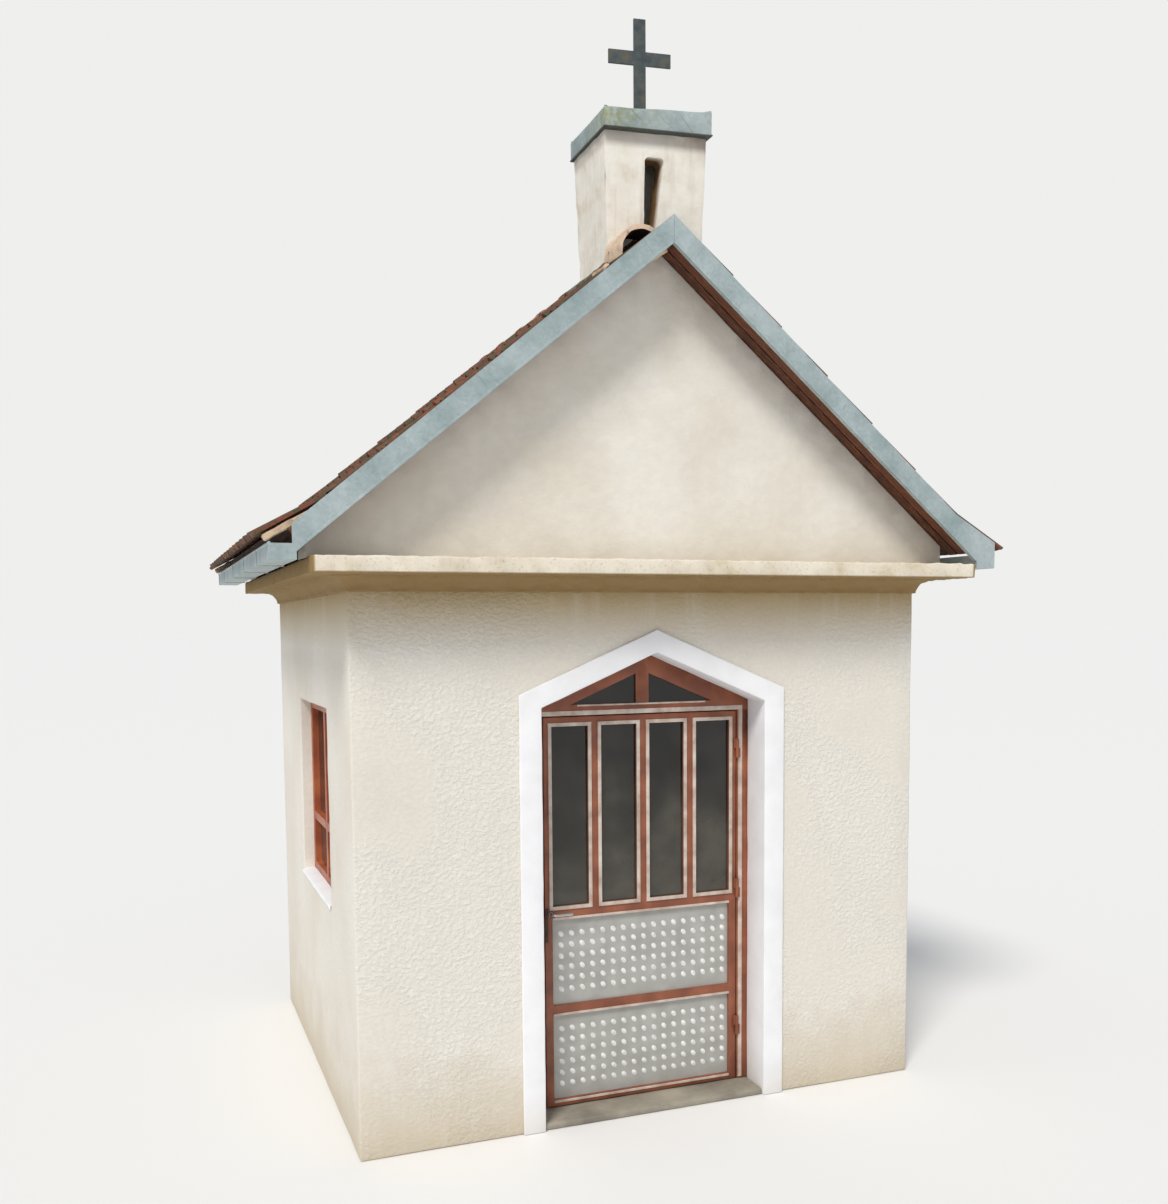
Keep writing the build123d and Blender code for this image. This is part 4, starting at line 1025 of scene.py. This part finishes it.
# Painted plaster is clean, smooth and softly matt. The strokes of the brush are finer than the
# 8 mm at which they are drawn so that they show.
plaster, tree, shader, place = new_material("white_painted_plaster")
where = add(tree, "SeparateXYZ", {"Vector": place})
cloud = add(tree, "TexNoise", {"Vector": place, "Scale": per(160), "Detail": 5.0})
white = add(tree, "ValToRGB", {"Fac": cloud.outputs["Fac"]},
            stops=((0.34, "#ececee"), (0.60, "#f3f3f5")))
splash = add(tree, "MapRange", {"Value": where.outputs["Z"], "From Min": 0.22, "From Max": 0.0,
                                "To Max": 0.5})
patchy = add(tree, "Math", {0: splash.outputs["Result"], 1: cloud.outputs["Fac"]},
             operation="MULTIPLY")
soiled = add(tree, "MixRGB", {"Fac": patchy.outputs[0], "Color1": white.outputs["Color"],
                              "Color2": linear("#b5a37f")})
strokes = add(tree, "TexNoise", {"Vector": place, "Scale": per(8), "Detail": 4.0})
floated = add(tree, "Bump", {"Height": strokes.outputs["Fac"], "Strength": 0.25,
                             "Distance": 0.0012})
feed(tree, shader, {"Base Color": soiled.outputs["Color"], "Roughness": 0.8,
                    "Specular IOR Level": 0.3, "Normal": floated.outputs["Normal"]})
surround = cad_copy("door_surround")
soften(surround, 0.006, 3)
slice_up(surround, 0.07, (0, 2))
uneven(surround, float_wave, float_reach)
finish_piece(surround, "plaster_surround", plaster,
             stands_for=("door_surround",))

# Door frame, fanlight and leaf are welded from steel sections and painted red-brown by brush.
# The paint keeps a soft gloss, has faded towards orange in patches, and is chipped.
steel_edge = 0.002


def brown_enamel(name, fresh, faded):
    """Brushed enamel on steel: a soft gloss over faint brush marks, faded in patches."""
    material, tree, shader, place = new_material(name)
    cloud = add(tree, "TexNoise", {"Vector": place, "Scale": per(140), "Detail": 5.0})
    paint = add(tree, "ValToRGB", {"Fac": cloud.outputs["Fac"]},
                stops=((0.38, fresh), (0.66, faded)))
    along = add(tree, "Mapping", {"Vector": place, "Scale": (1.0, 1.0, 0.08)})
    strokes = add(tree, "TexNoise", {"Vector": along.outputs["Vector"], "Scale": per(5),
                                     "Detail": 4.0})
    chips = add(tree, "TexNoise", {"Vector": place, "Scale": per(12), "Detail": 5.0,
                                   "Roughness": 0.7})
    chipped = add(tree, "MapRange", {"Value": chips.outputs["Fac"], "From Min": 0.69,
                                     "From Max": 0.73, "To Max": 0.7})
    worn = add(tree, "MixRGB", {"Fac": chipped.outputs["Result"], "Color1": paint.outputs["Color"],
                                "Color2": linear("#4a2418")})
    brushed = add(tree, "Bump", {"Height": strokes.outputs["Fac"], "Strength": 0.25,
                                 "Distance": 0.0008})
    feed(tree, shader, {"Base Color": worn.outputs["Color"], "Roughness": 0.42,
                        "Normal": brushed.outputs["Normal"]})
    return material


enamel = brown_enamel("red_brown_enamel", "#7b442e", "#98593d")
posts = cad_copy("door_posts", "fanlight_frame")
soften(posts, steel_edge)
finish_piece(posts, "steel_door_frame", enamel,
             stands_for=("door_posts", "fanlight_frame"))
leaf = cad_copy("door_leaf")
soften(leaf, steel_edge)
finish_piece(leaf, "steel_door_leaf", enamel, body="door",
             stands_for=("door_leaf",))

# Glazing beads round the four panes and strips along the rails keep an older, paler coat of
# paint. They are screwed to the leaf in front of the glass.
bead_width = 0.018
bead_lap = 0.017
bead_proud = 0.007
pane_count = 4
mullion = 0.068
strip_height = 0.012
strip_proud = 0.004
lower_panel_top = 0.504
upper_panel_low = 0.557
leaf_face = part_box("door_leaf")[0][1]
glass_low, glass_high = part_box("door_glass")
panel_low, panel_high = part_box("door_panels")
upper_panel_top = panel_high[2]
# The old paint is duller than the enamel. Its brush marks are drawn coarse, at 4 mm, to show.
pale_paint, tree, shader, place = new_material("pale_bead_paint")
cloud = add(tree, "TexNoise", {"Vector": place, "Scale": per(70), "Detail": 6.0})
putty = add(tree, "ValToRGB", {"Fac": cloud.outputs["Fac"]},
            stops=((0.34, "#b09a8c"), (0.58, "#cbbdb0"), (0.74, "#d8cfc5")))
grain = add(tree, "TexNoise", {"Vector": place, "Scale": per(4), "Detail": 3.0})
rubbed = add(tree, "Bump", {"Height": grain.outputs["Fac"], "Strength": 0.2, "Distance": 0.0006})
feed(tree, shader, {"Base Color": putty.outputs["Color"], "Roughness": 0.55,
                    "Normal": rubbed.outputs["Normal"]})
pane_width = (glass_high[0] - glass_low[0] - (pane_count - 1) * mullion) / pane_count


def flat_frame(bm, low_x, low_z, high_x, high_z, width, back, proud):
    """A mitred frame of flat strip round an opening, standing proud of a face towards -Y."""
    verts = bmesh.ops.create_grid(bm, x_segments=1, y_segments=1, size=0.5)["verts"]
    bmesh.ops.scale(bm, verts=verts, vec=(high_x - low_x, high_z - low_z, 1))
    bmesh.ops.rotate(bm, cent=(0, 0, 0), matrix=Matrix.Rotation(pi / 2, 3, "X"), verts=verts)
    bmesh.ops.translate(bm, verts=verts,
                        vec=((low_x + high_x) / 2, back, (low_z + high_z) / 2))
    bm.normal_update()
    inner = verts[0].link_faces[0]
    ring = bmesh.ops.inset_region(bm, faces=[inner], thickness=width, use_boundary=True,
                                  use_even_offset=True)["faces"]
    bmesh.ops.delete(bm, geom=[inner], context="FACES")
    raised = bmesh.ops.extrude_face_region(bm, geom=ring)["geom"]
    moved = [g for g in raised if isinstance(g, bmesh.types.BMVert)]
    bmesh.ops.translate(bm, verts=moved, vec=(0, -proud, 0))


beads = bmesh.new()
for index in range(pane_count):
    start = glass_low[0] + index * (pane_width + mullion)
    flat_frame(beads, start - bead_lap, glass_low[2] - bead_lap, start + pane_width + bead_lap,
               glass_high[2] + bead_lap, bead_width, leaf_face + 0.0005, bead_proud)
bmesh.ops.recalc_face_normals(beads, faces=beads.faces)
soften(beads, 0.0015)
finish_piece(beads, "glazing_beads", pale_paint, body="door")

rail_strips = bmesh.new()
strip_places = (
    (panel_low[0], upper_panel_top, panel_high[0], upper_panel_top + strip_height),
    (panel_low[0], lower_panel_top, panel_high[0], lower_panel_top + strip_height),
    (panel_low[0], panel_low[2] - 0.016, panel_high[0], panel_low[2] - 0.004),
)
for low_x, low_z, high_x, high_z in strip_places:
    board(rail_strips, (low_x, leaf_face - strip_proud, low_z),
          (high_x, leaf_face + 0.001, high_z), 0.001)
finish_piece(rail_strips, "pale_rail_strips", pale_paint, body="door")

# The fixed frame has the same pale strip. It is screwed along the transom, down the hinge post and
# along the fanlight's foot.
transom_strip = (-0.590, 0.568)
post_strip = (0.546, 0.568)
posts_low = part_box("door_posts")[0]
fan_low, fan_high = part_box("fanlight_glass")
transom_strip_low = fan_low[2] - 0.054
transom_strip_high = fan_low[2] - 0.031
frame_strips = bmesh.new()
for low_x, low_z, high_x, high_z in (
    (transom_strip[0], transom_strip_low, transom_strip[1], transom_strip_high),
    (post_strip[0], posts_low[2] + 0.01, post_strip[1], transom_strip_low),
    (fan_low[0] + 0.03, fan_low[2] - 0.010, fan_high[0] - 0.03, fan_low[2] - 0.002),
):
    board(frame_strips, (low_x, leaf_face - strip_proud, low_z),
          (high_x, leaf_face + 0.001, high_z), 0.001)
finish_piece(frame_strips, "pale_frame_strips", pale_paint)

# Two panels of thin sheet fill the lower half of the leaf. Rows of slanting buttons were pressed
# in them, and on the buttons the grey paint is worn white.
button_pitch = 0.0565
button_shift = 0.0085
button_columns = 17
button_rows = 6
button_half = 0.017
button_top = 0.55
button_oval = (1.08, 0.72, 1)
button_height = 0.004
button_slant = radians(-50)
# Painted sheet has a low sheen, in faint clouds. The white of the buttons is a little glossier.
sheet_grey, tree, shader, place = new_material("pressed_grey_sheet")
cloud = add(tree, "TexNoise", {"Vector": place, "Scale": per(90), "Detail": 5.0})
grey = add(tree, "ValToRGB", {"Fac": cloud.outputs["Fac"]},
           stops=((0.30, "#a3a29c"), (0.70, "#b5b4ae")))
feed(tree, shader, {"Base Color": grey.outputs["Color"], "Metallic": 0.2, "Roughness": 0.5})
coat("door_panels", sheet_grey)
button_white, tree, shader, place = new_material("worn_white_button")
cloud = add(tree, "TexNoise", {"Vector": place, "Scale": per(25), "Detail": 4.0})
white = add(tree, "ValToRGB", {"Fac": cloud.outputs["Fac"]},
            stops=((0.32, "#cfcecb"), (0.60, "#ececea")))
feed(tree, shader, {"Base Color": white.outputs["Color"], "Roughness": 0.45})
buttons = bmesh.new()
panel_face = panel_low[1]
for low_z, high_z in ((panel_low[2], lower_panel_top), (upper_panel_low, upper_panel_top)):
    middle_z = (low_z + high_z) / 2
    for row in range(button_rows):
        for column in range(button_columns):
            x = button_shift + (column - (button_columns - 1) / 2) * button_pitch
            z = middle_z + (row - (button_rows - 1) / 2) * button_pitch
            dome = bmesh.ops.create_cone(buttons, cap_ends=True, segments=12,
                                         radius1=button_half,
                                         radius2=button_half * button_top,
                                         depth=button_height)["verts"]
            bmesh.ops.scale(buttons, verts=dome, vec=button_oval)
            bmesh.ops.rotate(buttons, cent=(0, 0, 0), verts=dome,
                             matrix=Matrix.Rotation(button_slant, 3, "Z"))
            bmesh.ops.rotate(buttons, cent=(0, 0, 0), verts=dome,
                             matrix=Matrix.Rotation(pi / 2, 3, "X"))
            bmesh.ops.translate(buttons, verts=dome,
                                vec=(x, panel_face - button_height / 2 + 0.0004, z))
finish_piece(buttons, "panel_buttons", button_white, body="door", sharp=60)

# Clear float glass before the unlit room. Its dark brown colour is painted shade of the room
# behind, with brown dust on it in clouds. A painted reflection makes the door's panes lighter
# towards their foot and leaves the fanlight under the pointed head darkest.
glass, tree, shader, place = new_material("dusty_float_glass")
dust = add(tree, "TexNoise", {"Vector": place, "Scale": per(240), "Detail": 5.0})
where = add(tree, "SeparateXYZ", {"Vector": place})
reflection_fall = add(tree, "MapRange", {"Value": where.outputs["Z"], "From Min": glass_low[2],
                                 "From Max": fan_low[2], "To Min": 0.30, "To Max": -0.30})
thickness = add(tree, "Math", {0: dust.outputs["Fac"], 1: reflection_fall.outputs["Result"]})
shade_dust_and_reflection = add(tree, "ValToRGB", {"Fac": thickness.outputs["Value"]},
           stops=((0.20, "#161411"), (0.50, "#37322a"), (0.80, "#5b574d")))
feed(tree, shader, {"Base Color": shade_dust_and_reflection.outputs["Color"], "Roughness": 0.08, "IOR": 1.5,
                    "Transmission Weight": 0.35})
for node in ("door_glass", "fanlight_glass", "window_glass"):
    coat(node, glass)

# Lever handles of satin aluminium, one on each face of the leaf, each standing on a round rose. A
# narrow plate of japanned iron with the keyhole lies on the front of the leaf beside them.
keyhole_radius = 0.005
keyhole_rise = 0.06
keyhole_depth = 0.008
# Satin aluminium has a soft shine and fine lines from the brush, drawn at 2 mm so that they show
satin, tree, shader, place = new_material("satin_aluminium")
along = add(tree, "Mapping", {"Vector": place, "Scale": (0.1, 1.0, 1.0)})
lines = add(tree, "TexNoise", {"Vector": along.outputs["Vector"], "Scale": per(2), "Detail": 3.0})
bright = add(tree, "ValToRGB", {"Fac": lines.outputs["Fac"]},
             stops=((0.35, "#a9a9a6"), (0.65, "#c9c9c6")))
feed(tree, shader, {"Base Color": bright.outputs["Color"], "Metallic": 0.9, "Roughness": 0.38})
handle = cad_copy("door_handle")
finish_piece(handle, "lever_handle", satin, body="door",
             stands_for=("door_handle",), sharp=50)

# Japanned iron is near black with a dull gloss, and brown where rust comes through
japan, tree, shader, place = new_material("japanned_iron")
cloud = add(tree, "TexNoise", {"Vector": place, "Scale": per(16), "Detail": 5.0})
black = add(tree, "ValToRGB", {"Fac": cloud.outputs["Fac"]},
            stops=((0.40, "#231d19"), (0.68, "#4a3226")))
feed(tree, shader, {"Base Color": black.outputs["Color"], "Roughness": 0.5})
plate_low, plate_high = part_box("lock_plate")
plate = cad_copy("lock_plate")
soften(plate, 0.001)
cylinder = bmesh.ops.create_cone(plate, cap_ends=True, segments=20, radius1=keyhole_radius,
                                 radius2=keyhole_radius, depth=keyhole_depth)["verts"]
bmesh.ops.rotate(plate, cent=(0, 0, 0), matrix=Matrix.Rotation(pi / 2, 3, "X"), verts=cylinder)
bmesh.ops.translate(plate, verts=cylinder,
                    vec=((plate_low[0] + plate_high[0]) / 2, plate_low[1],
                         plate_low[2] + keyhole_rise))
finish_piece(plate, "japanned_lock_plate", japan, body="door",
             stands_for=("lock_plate",))

# Barrel hinges of turned steel. The pins and lower barrels are welded to the post and the upper
# barrels to the leaf, and all were painted over with the frame.
for node in ("hinge_pins", "hinge_knuckles"):
    coat(node, enamel)

# Side windows welded from steel sections like the door, with a post and one low bar, and set in
# the reveals. Their enamel is drawn a lighter orange than the door's, as painted sunlight.
sunlit_window_enamel = brown_enamel("sunlit_brown_enamel", "#97492b", "#b5653f")
frames = cad_copy("left_window_frame", "right_window_frame")
soften(frames, steel_edge)
finish_piece(frames, "steel_window_frames", sunlit_window_enamel,
             stands_for=("left_window_frame", "right_window_frame"))

# Outer window sills of concrete, floated to a fall so that rain runs off. They are painted white
# like the door's surround.
sill_paint_wave = 0.003
sills = cad_copy("window_sills")
soften(sills, 0.005)
slice_up(sills, 0.06, (1,))
uneven(sills, sill_paint_wave, 0.08)
finish_piece(sills, "window_sill_slabs", plaster, stands_for=("window_sills",))

# The chapel stands on a plain pale studio floor, which takes its shadow. It reaches 400 m each
# way, and lies a millimetre below the underside of the solids.
floor_half = 400.0
floor_drop = 0.001
studio, tree, shader, place = new_material("studio_floor")
feed(tree, shader, {"Base Color": linear("#ecebe9"), "Roughness": 0.9})
floor_mesh = bmesh.new()
bmesh.ops.create_grid(floor_mesh, x_segments=1, y_segments=1, size=floor_half)
bmesh.ops.translate(floor_mesh, verts=floor_mesh.verts, vec=(0, 0, -floor_drop))
mesh = bpy.data.meshes.new("studio_floor")
floor_mesh.to_mesh(mesh)
floor_mesh.free()
mesh.materials.append(studio)
studio_floor = bpy.data.objects.new("studio_floor", mesh)
bpy.context.scene.collection.objects.link(studio_floor)

# A soft sun stands high to the left of the front, and a pale sky fills the shade. The camera sees
# a backdrop of its own in place of that sky.
sun_travel = Vector((0.62, 0.72, -1.15))
sky_strength = 0.62
sky = bpy.data.worlds.new("studio_sky")
bpy.context.scene.world = sky
sky.use_nodes = True
tree = sky.node_tree
background = tree.nodes["Background"]
seen = add(tree, "LightPath")
backdrop = add(tree, "Background", {"Color": linear("#efefee"), "Strength": 1.0})
background.inputs["Color"].default_value = linear("#e6ebf2")
background.inputs["Strength"].default_value = sky_strength
either = add(tree, "MixShader", {0: seen.outputs["Is Camera Ray"],
                                 1: background.outputs["Background"],
                                 2: backdrop.outputs["Background"]})
tree.links.new(either.outputs["Shader"], tree.nodes["World Output"].inputs["Surface"])
sun = bpy.data.lights.new("soft_sun", "SUN")
sun.energy = 2.3
sun.angle = radians(16)
sun.color = (1.0, 0.972, 0.93)
lamp = bpy.data.objects.new("soft_sun", sun)
lamp.rotation_euler = sun_travel.to_track_quat("-Z", "Y").to_euler()
bpy.context.scene.collection.objects.link(lamp)

# The camera stands to the left of the door, 2.45 m above the floor. The picture is a part of a
# larger one, so its middle lies above the lens axis.
camera_place = Vector((-2.3915, -6.5318, 2.4468))
camera_yaw = 0.3655
camera_pitch = -0.0791
camera_roll = 0.0081
focal_pixels = 1174.31
picture_height = 1204
axis_below_middle = 118
sensor = 36
forward = Vector((sin(camera_yaw) * cos(camera_pitch), cos(camera_yaw) * cos(camera_pitch),
                  sin(camera_pitch)))
level = Vector((cos(camera_yaw), -sin(camera_yaw), 0))
down = forward.cross(level)
right = level * cos(camera_roll) + down * sin(camera_roll)
upward = level * sin(camera_roll) - down * cos(camera_roll)
lens = bpy.data.cameras.new("camera")
lens.sensor_width = sensor
lens.lens = focal_pixels / picture_height * sensor
lens.shift_y = axis_below_middle / picture_height
camera = bpy.data.objects.new("camera", lens)
camera.matrix_world = Matrix.Translation(camera_place) @ Matrix(
    (right, upward, -forward)).transposed().to_4x4()
bpy.context.scene.collection.objects.link(camera)
bpy.context.scene.camera = camera
bpy.context.scene.view_settings.view_transform = "Standard"
